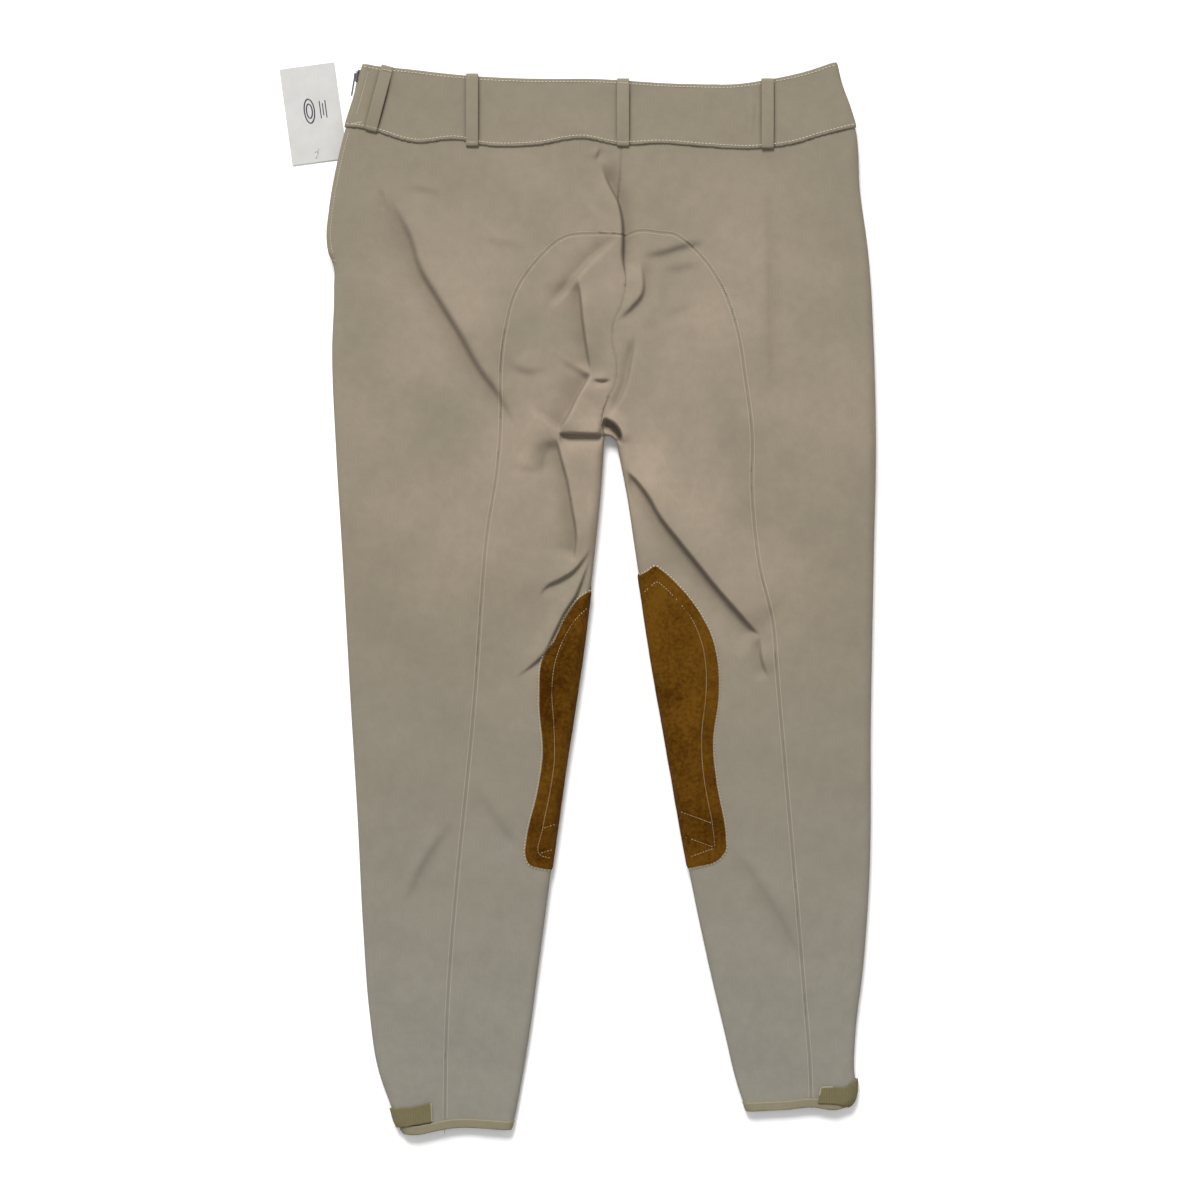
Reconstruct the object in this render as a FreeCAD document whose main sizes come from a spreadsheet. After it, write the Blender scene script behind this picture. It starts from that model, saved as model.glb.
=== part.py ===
"""Riding breeches, lying flat on their front with the back up.

Millimetres. +X runs across the back from the wearer's left to the wearer's right, +Y runs up the
garment to the waistband, +Z runs up from the surface it lies on. The origin is the middle of the
object's underside.
"""
import FreeCAD, Part
import math
import os

import Sketcher

Vector = FreeCAD.Vector
UP = Vector(0, 0, 1)

# ---------------------------------------------------------------- driving dimensions

DIMENSIONS = {
    # cloth and trim thicknesses
    "cloth": 1.2,
    "band_cloth": 1.6,
    "facing_cloth": 0.8,
    "suede": 1.4,
    "lie": 1.5,             # height of the front cloth above the surface
    # inner half height of the waist, which the standing zip fills
    "waist_half": 5.0,
    # waistband
    "band_low_left": -211.5,
    "band_top_left": -197.0,
    "band_low_right": 254.0,
    "band_top_right": 238.5,
    "band_low": 428.0,
    "band_top": 482.5,
    # belt loops
    "loop_width": 11.0,
    "loop_strip": 1.2,
    "loop_gap": 4.4,
    "loop_foot": 4.0,
    "loop_ramp": 4.5,
    "loop_pressed_gap": 0.3,
    # side zip: the line of its teeth, top to bottom
    "zip_top_x": -199.0,
    "zip_top_y": 482.0,
    "zip_bottom_x": -226.0,
    "zip_bottom_y": 320.0,
    "coil_inner": 0.65,
    "coil_outer": 2.1,
    "coil_half": 1.2,
    "tape_thickness": 0.5,
    "tape_flange": 12.0,
    "flange_thickness": 0.6,
    "slit_half": 4.2,
    "slit_depth": 2.6,
    "slit_length": 178.0,
    "stop_length": 1.6,
    "slider_length": 9.0,
    "slider_half": 3.5,
    "slider_plate": 0.7,
    "slider_drop": 6.1,
    "slider_gap": 0.3,      # between the slider and the coils and tapes it runs on
    "slider_post_low": 1.5,
    "slider_post_high": 4.0,
    "slider_lug": 2.0,
    "slider_lug_half": 0.9,
    "slider_lug_low": 0.2,
    "slider_lug_high": 2.8,
    "pull_length": 18.0,
    "pull_half": 2.2,
    "pull_thickness": 1.0,
    "pull_pin": 0.4,
    "pull_arm_start": 1.4,
    "pull_arm_gap": 1.2,    # inner half width between the pull's arms
    "guard_cloth": 1.0,
    "guard_gap": 0.4,
    "guard_top": 4.0,
    "guard_side": 0.5,
    "hook_plate": 0.7,
    "hook_width": 6.0,
    "bar_wire": 0.5,
    "bar_length": 10.0,
    # hook-and-loop closing at the ankle
    "ankle_top": 10.0,
    "loop_tape": 0.8,
    "hook_tape": 0.8,
    "tab_strip": 1.2,
    "tab_clearance": 0.3,
    "loop_tape_margin": 5.0,
    "hook_tape_margin": 2.0,
    # hem tape
    "hem_height": 6.5,
    "hem_proud": 0.3,
    # swing tag, a standard card
    "card_width": 50.8,
    "card_height": 88.9,
    "card_thickness": 0.35,
    "card_lift": 0.8,
    "card_hole": 1.5,
    "card_hole_side": 1.5,
    "card_hole_up": 8.7,
    "card_x": -238.7,
    "card_y": 408.0,
    "card_lean": 7.75,
    "pin_wire": 0.5,
    "pin_bar": 0.8,
    "pin_bar_length": 9.0,
    "label_width": 30.0,
    "label_height": 42.0,
    "label_cloth": 0.4,
}

# Cross-sections down the garment, one row a level: how far up it is, the left leg's outer and
# inner edge, the right leg's inner and outer edge, and the heights of its underside and top.
# Above the crotch the two halves overlap and are parted at the centre seam.
LEVELS = {
    "above_waist": (445, -208, 62, 10, 251, 2.7, 15.1),
    "waist": (400, -218.5, 62, 10, 256.7, 2.7, 15.1),
    "high_hip": (350, -227, 62, 10, 262, 2.7, 15.1),
    "zip_end": (310, -228.5, 62, 10, 265, 2.7, 15.1),
    "below_zip": (298, -223.5, 62, 10, 266, 2.5, 15.4),
    "hip": (240, -224, 62, 10, 270.5, 1.5, 17.0),
    "seat": (165, -221.5, 55, 0, 273, 1.5, 17.5),
    "crotch": (146, -220.8, 25.5, 33.5, 273, 1.5, 17.5),
    "thigh": (50, -215.3, 17, 52, 271.5, 1.5, 16.5),
    "knee": (-140, -205, -8, 82.5, 268.6, 1.5, 15.5),
    "calf": (-322, -195, -33, 117, 263, 1.5, 13.0),
    "shin": (-395, -188.5, -43.5, 134.5, 255, 1.5, 11.5),
    "ankle": (-432, -182, -49.5, 143.5, 252.5, 1.5, 10.0),
    "below_hem": (-500, -157, -62.5, 162, 243, 1.5, 10.0),
}
COLUMNS = ("up", "left_outer", "left_inner", "right_inner", "right_outer", "under", "over")

# Seams and edges as seen from above: points (x, y) that a smooth curve runs through.
CENTRE_SEAM = [(41, 455), (38, 380), (42, 300), (33, 235), (29, 165), (28.5, 100)]
BAND_BASE = [(-250, 441), (-211.5, 428), (-150, 417.5), (-30, 414), (120, 413.5), (200, 417),
             (254, 430), (300, 445)]
BAND_TOP = [(-230, 487), (-197, 482.5), (-125, 477), (-30, 474.5), (120, 468.5), (188, 476),
            (238.5, 489.5), (290, 508)]
LEFT_SEAT_SEAM = [(44, 334), (-11, 329), (-52, 288), (-69, 218), (-72, 128), (-85, 4),
                  (-98, -183), (-117, -366), (-121, -505)]
RIGHT_SEAT_SEAM = [(38, 334), (73, 334.5), (110, 313), (141, 262), (155, 191), (160, 122),
                   (168, 26), (183, -60), (190, -210), (208, -366), (214, -505)]
LEFT_PATCH = [(34, 24), (16, 14), (-5, -10), (-22, -40), (-33.5, -72), (-32, -135), (-38, -178),
              (-46.5, -224), (-42, -241), (-25, -249.5), (10, -249.5)]
RIGHT_PATCH = [(46, 8), (58, 20.5), (71.5, 28.5), (92, 15), (119, -21), (130, -65), (124.5, -135),
               (129, -174), (137, -226), (128, -240.5), (103, -247.5), (74, -250)]
# hem edges: a point on each and the slope there
LEFT_HEM = ((-160, -490.6), 0.04)
RIGHT_HEM = ((155, -469.5), 0.068)
# closing strips: the hinge edge first, then the free corners, in order round the strip
LEFT_TAB = [(-163.5, -484.5), (-170.8, -463.5), (-152, -463.3), (-133.6, -460.8), (-132.7, -479)]
RIGHT_TAB = [(254.2, -442), (250.8, -462.6), (219.7, -461.6), (223.2, -447), (243.5, -447)]
# belt loops: middle of the loop across the garment, its lower end, its length, its lean
BACK_LOOPS = {
    "belt_loop_side_left": (-187.5, 428.0, 57.0, -14.5),
    "belt_loop_back_left": (-95.6, 415.5, 60.5, 0.0),
    "belt_loop_back_centre": (41.5, 414.5, 58.0, 0.0),
    "belt_loop_back_right": (174.6, 414.5, 58.5, 0.0),
}
FRONT_LOOPS = {
    "belt_loop_front_left": (-85.0, 415.5, 60.0, 0.0),
    "belt_loop_front_right": (125.0, 414.5, 55.5, 0.0),
}
HIGH = 60.0
FAR = 700.0


def new_sheet(doc):
    """The spreadsheet of driving dimensions: one row a value, each with its alias."""
    sheet = doc.addObject("Spreadsheet::Sheet", "dims")
    rows = dict(DIMENSIONS)
    for level, values in LEVELS.items():
        for column, value in zip(COLUMNS, values):
            rows[f"{level}_{column}"] = value
    for number, (alias, value) in enumerate(rows.items(), start=1):
        sheet.set(f"A{number}", alias)
        sheet.set(f"B{number}", str(value))
        sheet.setAlias(f"B{number}", alias)
    doc.recompute()
    return sheet


# ---------------------------------------------------------------- cloth shells

def section(up, left, right, under, over):
    """A flattened tube's outline at one level: flat above and below, round at both edges."""
    radius = (over - under) / 2
    middle = (over + under) / 2
    low_left = Vector(left + radius, up, under)
    low_right = Vector(right - radius, up, under)
    high_right = Vector(right - radius, up, over)
    high_left = Vector(left + radius, up, over)
    return Part.Wire([
        Part.LineSegment(low_left, low_right).toShape(),
        Part.Arc(low_right, Vector(right, up, middle), high_right).toShape(),
        Part.LineSegment(high_right, high_left).toShape(),
        Part.Arc(high_left, Vector(left, up, middle), low_left).toShape(),
    ])


def tube(sections, grow=0.0):
    """A solid through the sections, each grown outwards by the same amount."""
    wires = [
        section(up, left - grow, right + grow, under - grow, over + grow)
        for up, left, right, under, over in sections
    ]
    return Part.makeLoft(wires, True, True)


def leg_sections(sheet, side):
    """The sections of one half of the garment, from above the waist to below the hem."""
    low, high = ("left_outer", "left_inner") if side == "left" else ("right_inner", "right_outer")
    names = ("up", low, high, "under", "over")
    return [tuple(getattr(sheet, f"{level}_{name}") for name in names) for level in LEVELS]


def smooth(points):
    """A smooth edge through points seen from above."""
    curve = Part.BSplineCurve()
    curve.interpolate([Vector(x, y, -HIGH / 2) for x, y in points])
    return curve.toShape()


def region(edge_points, corners=()):
    """A tall prism whose outline is a smooth edge closed by straight lines through corners."""
    edge = smooth(edge_points)
    ring = [Vector(*edge_points[-1], -HIGH / 2)]
    ring += [Vector(x, y, -HIGH / 2) for x, y in corners]
    ring.append(Vector(*edge_points[0], -HIGH / 2))
    closing = [Part.LineSegment(a, b).toShape() for a, b in zip(ring, ring[1:])]
    outline = Part.Wire(Part.sortEdges([edge] + closing)[0])
    return Part.Face(outline).extrude(Vector(0, 0, HIGH))


def half_plane(point, slope, rise, above):
    """A tall prism above or below the line through a point, moved up by rise."""
    x, y = point
    far_y = 2 * FAR if above else -2 * FAR
    corners = [(x - FAR, y + rise - FAR * slope), (x + FAR, y + rise + FAR * slope),
               (x + FAR, y + far_y), (x - FAR, y + far_y)]
    face = Part.Face(Part.makePolygon([Vector(a, b, -HIGH / 2) for a, b in corners + corners[:1]]))
    return face.extrude(Vector(0, 0, HIGH))


def lower_half(sheet):
    """Everything below the garment's middle height, which the side seams and inseams follow."""
    profile = []
    for level in LEVELS:
        middle = (getattr(sheet, f"{level}_under") + getattr(sheet, f"{level}_over")) / 2
        profile.append(Vector(-FAR, getattr(sheet, f"{level}_up"), middle))
    profile += [Vector(-FAR, profile[-1].y, -HIGH), Vector(-FAR, profile[0].y, -HIGH)]
    face = Part.Face(Part.makePolygon(profile + profile[:1]))
    return face.extrude(Vector(2 * FAR, 0, 0))


def one_solid(shape):
    """The largest solid of a shape, with its split faces joined."""
    return max(shape.removeSplitter().Solids, key=lambda solid: solid.Volume)


def add_feature(doc, name, shape):
    """A document object that holds a cloth shape."""
    feature = doc.addObject("Part::Feature", name)
    feature.Shape = shape
    feature.Placement = FreeCAD.Placement()
    return feature


def make_panels(doc, sheet, slit, tapes):
    """Six cloth panels: back, seat and front of each leg."""
    below_band = region(BAND_BASE, [(FAR, -FAR), (-FAR, -FAR)])
    seams = {"left": region(LEFT_SEAT_SEAM, [(200, -520), (200, 334)]),
             "right": region(RIGHT_SEAT_SEAM, [(-100, -520), (-100, 334)])}
    halves = {"left": region(CENTRE_SEAM, [(28.5, -FAR), (-FAR, -FAR), (-FAR, 455)]),
              "right": region(CENTRE_SEAM, [(28.5, -FAR), (FAR, -FAR), (FAR, 455)])}
    hems = {"left": LEFT_HEM, "right": RIGHT_HEM}
    under = lower_half(sheet)
    for side in ("left", "right"):
        sections = leg_sections(sheet, side)
        shell = tube(sections).cut(tube(sections, -sheet.cloth))
        shell = shell.common(halves[side]).common(below_band)
        shell = shell.common(half_plane(*hems[side], sheet.hem_height, above=True))
        if side == "left":
            shell = shell.cut([slit] + tapes)
        back = shell.cut(under)
        add_feature(doc, f"{side}_front_panel", one_solid(shell.common(under)))
        add_feature(doc, f"{side}_seat_panel", one_solid(back.common(seams[side])))
        add_feature(doc, f"{side}_back_panel", one_solid(back.cut(seams[side])))


def make_trim(doc, sheet):
    """Suede knee patches round the inner legs and woven tape round the ankle edges."""
    outlines = {"left": region(LEFT_PATCH, [(24, -249.5), (34, -240)]),
                "right": region(RIGHT_PATCH, [(46, -240)])}
    hems = {"left": LEFT_HEM, "right": RIGHT_HEM}
    for side in ("left", "right"):
        sections = leg_sections(sheet, side)
        sleeve = tube(sections, sheet.suede).cut(tube(sections))
        add_feature(doc, f"{side}_knee_patch", one_solid(sleeve.common(outlines[side])))
        ring = tube(sections, sheet.hem_proud).cut(tube(sections, -sheet.cloth))
        ring = ring.common(half_plane(*hems[side], 0, above=True))
        ring = ring.common(half_plane(*hems[side], sheet.hem_height, above=False))
        add_feature(doc, f"{side}_hem_tape", one_solid(ring))


def make_waistband(doc, sheet, slit, tapes):
    """The waistband: back and front cloth, and one facing that lines both."""
    half = sheet.waist_half + sheet.facing_cloth + sheet.band_cloth
    middle = sheet.lie + half
    lean_left = (sheet.band_top_left - sheet.band_low_left) / (sheet.band_top - sheet.band_low)
    lean_right = (sheet.band_top_right - sheet.band_low_right) / (sheet.band_top - sheet.band_low)
    spare = 40.0

    def level(up):
        left = sheet.band_low_left + lean_left * (up - sheet.band_low) - 2 * half
        right = sheet.band_low_right + lean_right * (up - sheet.band_low)
        return (up, left, right, middle - half, middle + half)

    sections = [level(sheet.band_low - spare), level(sheet.band_top + spare)]
    above_base = region(BAND_BASE, [(FAR, FAR), (-FAR, FAR)])
    below_top = region(BAND_TOP, [(FAR, -FAR), (-FAR, -FAR)])
    start_x = sheet.band_low_left - lean_left * spare
    end_x = sheet.band_top_left + lean_left * spare
    end_cut = Part.Face(Part.makePolygon([
        Vector(start_x, sheet.band_low - spare, -HIGH / 2),
        Vector(end_x, sheet.band_top + spare, -HIGH / 2),
        Vector(FAR, sheet.band_top + spare, -HIGH / 2),
        Vector(FAR, sheet.band_low - spare, -HIGH / 2),
        Vector(start_x, sheet.band_low - spare, -HIGH / 2),
    ])).extrude(Vector(0, 0, HIGH))
    bounds = above_base.common(below_top).common(end_cut)
    cloth = tube(sections).cut(tube(sections, -sheet.band_cloth)).common(bounds)
    lining = tube(sections, -sheet.band_cloth).cut(
        tube(sections, -sheet.band_cloth - sheet.facing_cloth)).common(bounds)
    below = Part.makeBox(2 * FAR, 2 * FAR, HIGH, Vector(-FAR, -FAR, middle - HIGH))
    cloth = cloth.cut([slit] + tapes)
    lining = lining.cut([slit] + tapes)
    add_feature(doc, "back_waistband", one_solid(cloth.cut(below)))
    add_feature(doc, "front_waistband", one_solid(cloth.common(below)))
    add_feature(doc, "waistband_facing", one_solid(lining))


# ---------------------------------------------------------------- sketched and boxed pieces

def origin_plane(body, role):
    """One of a body's own origin planes."""
    return next(plane for plane in body.Origin.OriginFeatures if plane.Role == role)


def sketch_on(body, name, role):
    """A sketch attached flat on one of the body's origin planes."""
    sketch = body.newObject("Sketcher::SketchObject", name)
    sketch.AttachmentSupport = [(origin_plane(body, role), "")]
    sketch.MapMode = "FlatFace"
    return sketch


def draw_ring(sketch, points):
    """Straight lines round a closed outline, joined at their ends."""
    count = len(points)
    corners = [Vector(x, y, 0) for x, y in points]
    for number in range(count):
        sketch.addGeometry(Part.LineSegment(corners[number], corners[(number + 1) % count]), False)
    for number in range(count):
        sketch.addConstraint(
            Sketcher.Constraint("Coincident", number, 2, (number + 1) % count, 1))


def padded(doc, name, points, length, role="XY_Plane", both_ways=False):
    """A PartDesign body: a closed outline padded by a length taken from the sheet."""
    body = doc.addObject("PartDesign::Body", name)
    outline = sketch_on(body, f"{name}_outline", role)
    draw_ring(outline, points)
    pad = body.newObject("PartDesign::Pad", f"{name}_pad")
    pad.Profile = outline
    pad.setExpression("Length", length)
    pad.Midplane = both_ways
    return body


def block(doc, name, low, high, frame=None):
    """A box between two corners given as expressions of the sheet, in a frame if one is given."""
    box = doc.addObject("Part::Box", name)
    for side, axis, start, end in zip(("Length", "Width", "Height"), "xyz", low, high):
        box.setExpression(side, f"({end}) - ({start})")
        box.setExpression(f".Placement.Base.{axis}", start)
    if frame is not None:
        doc.recompute()
        corner = box.Placement
        for axis in "xyz":
            box.setExpression(f".Placement.Base.{axis}", None)
        box.Placement = frame.multiply(corner)
    return box


def combine(doc, name, kind, base, tools):
    """A boolean of document objects: Cut takes the tools off one by one, Fuse joins them all."""
    if kind == "Fuse":
        result = doc.addObject("Part::MultiFuse", name)
        result.Shapes = [base] + tools
        return result
    for number, tool in enumerate(tools, start=1):
        last = number == len(tools)
        result = doc.addObject("Part::Cut", name if last else f"{name}_cut{number}")
        result.Base = base
        result.Tool = tool
        base = result
    return base


def at(x, y, z, turn=0.0):
    """A placement at a point, turned about the vertical by degrees."""
    return FreeCAD.Placement(Vector(x, y, z), FreeCAD.Rotation(UP, turn))


# ---------------------------------------------------------------- belt loops

def make_loops(doc, sheet):
    """Belt loops: bowed strips on the back, strips pressed flat under the front."""
    band_top = sheet.lie + 2 * (sheet.waist_half + sheet.facing_cloth + sheet.band_cloth)
    side_on = FreeCAD.Rotation(UP, 90)
    flipped = FreeCAD.Rotation(Vector(0, 1, 0), 180)
    for loops, gap in ((BACK_LOOPS, sheet.loop_gap), (FRONT_LOOPS, sheet.loop_pressed_gap)):
        for name, (x, y, length, lean) in loops.items():
            strip = sheet.loop_strip
            foot = sheet.loop_foot
            ramp = foot + sheet.loop_ramp
            inner = foot + strip / 2
            profile = [(0, 0), (inner, 0), (ramp + strip / 2, gap), (length - ramp - strip / 2, gap),
                       (length - inner, 0), (length, 0), (length, strip), (length - foot, strip),
                       (length - ramp, gap + strip), (ramp, gap + strip), (foot, strip), (0, strip)]
            body = padded(doc, name, profile, "dims.loop_width", "XZ_Plane", both_ways=True)
            if loops is BACK_LOOPS:
                turn = FreeCAD.Rotation(UP, lean).multiply(side_on)
                body.Placement = FreeCAD.Placement(Vector(x, y, band_top), turn)
            else:
                body.Placement = FreeCAD.Placement(Vector(x, y, sheet.lie), flipped.multiply(side_on))


# ---------------------------------------------------------------- side zip

def zip_frame(sheet):
    """The zip's own frame: origin at the top of its teeth, +Y up its line, +X into the garment."""
    run_x = sheet.zip_top_x - sheet.zip_bottom_x
    run_y = sheet.zip_top_y - sheet.zip_bottom_y
    middle = sheet.lie + sheet.band_cloth + sheet.facing_cloth + sheet.waist_half
    return at(sheet.zip_top_x, sheet.zip_top_y, middle, -math.degrees(math.atan2(run_x, run_y)))


def zip_length(sheet):
    """The length of the zip's line of teeth."""
    return math.hypot(sheet.zip_top_x - sheet.zip_bottom_x, sheet.zip_top_y - sheet.zip_bottom_y)


def make_zip(doc, sheet):
    """Tapes, coils, stops and guard, all standing on edge along the garment's left side."""
    frame = zip_frame(sheet)
    line = round(zip_length(sheet), 3)
    flange_low = "dims.waist_half - dims.flange_thickness"
    tape_half = "dims.tape_thickness / 2"
    tapes = []
    for name, sign in (("back", 1), ("front", -1)):
        def span(low, high):
            return (low, high) if sign > 0 else (f"-({high})", f"-({low})")

        low, high = span("dims.coil_outer", flange_low)
        web = block(doc, f"zip_web_{name}", (f"-{tape_half}", f"-{line}", low), (tape_half, "0", high))
        low, high = span(flange_low, "dims.waist_half")
        flange = block(doc, f"zip_flange_{name}", (f"-{tape_half}", f"-{line}", low),
                       (f"dims.tape_flange - {tape_half}", "0", high))
        tapes.append(combine(doc, f"zip_tape_{name}", "Fuse", web, [flange]))
        low, high = span("dims.coil_inner", "dims.coil_outer")
        block(doc, f"zip_coil_{name}", ("-dims.coil_half", f"-({line} - 2 * dims.stop_length)", low),
              ("dims.coil_half", "-dims.stop_length", high), frame)
    stops = [
        block(doc, f"zip_top_stop_{name}", ("-dims.coil_half", "-dims.stop_length", low),
              ("dims.coil_half", "0", high))
        for name, low, high in (("back", "dims.coil_inner", "dims.coil_outer"),
                                ("front", "-dims.coil_outer", "-dims.coil_inner"))
    ]
    top_stops = combine(doc, "zip_top_stops", "Fuse", stops[0], stops[1:])
    block(doc, "zip_bottom_stop", ("-dims.coil_half", f"-{line}", "-dims.coil_outer"),
          ("dims.coil_half", f"-({line} - 2 * dims.stop_length)", "dims.coil_outer"), frame)
    guard_back = "dims.slit_depth + dims.guard_gap"
    block(doc, "zip_guard", (guard_back, f"-{line}", f"-({flange_low})"),
          (f"{guard_back} + dims.guard_cloth", "-dims.guard_top", f"{flange_low} - dims.guard_side"), frame)
    doc.recompute()
    for piece in tapes + [top_stops]:
        piece.Placement = frame


def zip_slit(sheet):
    """The open way along the zip that the slider needs, as a shape to cut the cloth with."""
    slit = Part.makeBox(40, sheet.slit_length + 20, 2 * sheet.slit_half,
                        Vector(sheet.slit_depth - 40, -sheet.slit_length, -sheet.slit_half))
    slit.Placement = zip_frame(sheet).multiply(slit.Placement)
    return slit


def make_slider(doc, sheet):
    """The metal slider: two plates with side walls, a post between the coils and a lug outside."""
    half = "dims.slider_length / 2"
    outer = "dims.coil_half + dims.slider_gap + dims.slider_plate"
    channel = "dims.coil_half + dims.slider_gap"
    whole = block(doc, "slider_block", (f"-({outer})", f"-{half}", "-dims.slider_half"),
                  (outer, half, "dims.slider_half"))
    hollow = block(doc, "slider_channel", (f"-({channel})", "-20", "-(dims.coil_outer + 0.4)"),
                   (channel, "20", "dims.coil_outer + 0.4"))
    slots = block(doc, "slider_slots", ("-(dims.tape_thickness / 2 + dims.slider_gap)", "-20", "-20"),
                  ("dims.tape_thickness / 2 + dims.slider_gap", "20", "20"))
    shell = combine(doc, "slider_shell", "Cut", whole, [hollow, slots])
    post = block(doc, "slider_post",
                 (f"-({channel})", "dims.slider_post_low", "-(dims.coil_inner - dims.slider_gap)"),
                 (channel, "dims.slider_post_high", "dims.coil_inner - dims.slider_gap"))
    lug = block(doc, "slider_lug",
                (f"-({outer} + dims.slider_lug)", "dims.slider_lug_low", "-dims.slider_lug_half"),
                (f"-({outer})", "dims.slider_lug_high", "dims.slider_lug_half"))
    joined = combine(doc, "slider_joined", "Fuse", shell, [post, lug])
    hole = doc.addObject("Part::Cylinder", "slider_hole")
    hole.setExpression("Radius", "dims.pull_pin + 0.25")
    hole.Height = 4
    hole.Placement = at(*pull_axis(sheet), -2)
    slider = combine(doc, "zip_slider", "Cut", joined, [hole])
    doc.recompute()
    slider.Placement = slider_frame(sheet)


def pull_axis(sheet):
    """Where the pull's pin passes through the lug, in the slider's own frame."""
    outer = sheet.coil_half + sheet.slider_gap + sheet.slider_plate
    return (-(outer + 1.1), (sheet.slider_lug_low + sheet.slider_lug_high) / 2)


def slider_frame(sheet):
    """The slider's own frame, closed at the top of the zip."""
    return zip_frame(sheet).multiply(at(0, -sheet.slider_drop, 0))


def make_pull(doc, sheet):
    """The pull: a blade with two arms and a pin that turns in the slider's lug."""
    pin_x, pin_y = pull_axis(sheet)
    thin = f"{pin_x} - dims.pull_thickness / 2"
    thick = f"{pin_x} + dims.pull_thickness / 2"
    blade = block(doc, "pull_blade", (thin, "-dims.pull_length", "-dims.pull_half"),
                  (thick, "-dims.pull_arm_start", "dims.pull_half"))
    arms = [
        block(doc, f"pull_arm_{name}", (thin, "-dims.pull_arm_start", low),
              (thick, f"{pin_y} + 0.6", high))
        for name, low, high in (("over", "dims.pull_arm_gap", "dims.pull_half"),
                                ("under", "-dims.pull_half", "-dims.pull_arm_gap"))
    ]
    pin = doc.addObject("Part::Cylinder", "pull_pin")
    pin.setExpression("Radius", "dims.pull_pin")
    pin.setExpression("Height", "2 * dims.pull_arm_gap")
    pin.Placement = at(pin_x, pin_y, -sheet.pull_arm_gap)
    pull = combine(doc, "zip_pull", "Fuse", blade, arms + [pin])
    doc.recompute()
    pull.Placement = slider_frame(sheet)


def make_hook(doc, sheet):
    """The waist hook and bar, inside the band behind the top of the zip."""
    frame = zip_frame(sheet)
    base = -(sheet.waist_half - sheet.flange_thickness)
    plate = sheet.hook_plate
    profile = [(5, base), (11, base), (11, base + plate), (5 + plate, base + plate),
               (5 + plate, 2.7), (8.1, 2.7), (8.1, 1.9), (8.1 + plate, 1.9),
               (8.1 + plate, 2.7 + plate), (5, 2.7 + plate)]
    hook = padded(doc, "waist_hook", profile, "dims.hook_width", "XZ_Plane", both_ways=True)
    hook.Placement = frame.multiply(at(0, -30, 0))
    legs = []
    for number, y in enumerate((-34.5, -25.5), start=1):
        leg = doc.addObject("Part::Cylinder", f"bar_leg_{number}")
        leg.setExpression("Radius", "dims.bar_wire")
        leg.setExpression("Height", "dims.waist_half - dims.flange_thickness - 1.6")
        leg.Placement = at(6.9, y, 1.6)
        legs.append(leg)
    rod = doc.addObject("Part::Cylinder", "bar_rod")
    rod.setExpression("Radius", "dims.bar_wire")
    rod.setExpression("Height", "dims.bar_length")
    rod.Placement = FreeCAD.Placement(Vector(6.9, -25, 1.6), FreeCAD.Rotation(Vector(1, 0, 0), 90))
    bar = combine(doc, "waist_bar", "Fuse", rod, legs)
    doc.recompute()
    bar.Placement = frame


# ---------------------------------------------------------------- ankles, tag and label

def inset(points, amount):
    """An outline shrunk towards its middle by about the same amount on every side."""
    middle_x = sum(x for x, _ in points) / len(points)
    middle_y = sum(y for _, y in points) / len(points)
    reach = min(math.hypot(x - middle_x, y - middle_y) for x, y in points)
    keep = 1 - amount / reach
    return [(middle_x + (x - middle_x) * keep, middle_y + (y - middle_y) * keep) for x, y in points]


def make_ankles(doc, sheet):
    """Loop tape on each leg, with the closing strip and its hook tape pressed down over it."""
    hook_base = sheet.ankle_top + sheet.loop_tape + sheet.tab_clearance
    for side, outline in (("left", LEFT_TAB), ("right", RIGHT_TAB)):
        loop_outline = inset(outline, sheet.loop_tape_margin)
        loop_tape = padded(doc, f"{side}_ankle_loop_tape", loop_outline, "dims.loop_tape")
        loop_tape.Placement = at(0, 0, sheet.ankle_top)
        hook_outline = inset(outline, sheet.hook_tape_margin)
        hook_tape = padded(doc, f"{side}_ankle_hook_tape", hook_outline, "dims.hook_tape")
        hook_tape.Placement = at(0, 0, hook_base)
        strip = padded(doc, f"{side}_ankle_tab", outline, "dims.tab_strip")
        strip.Placement = at(0, 0, hook_base + sheet.hook_tape)


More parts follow.
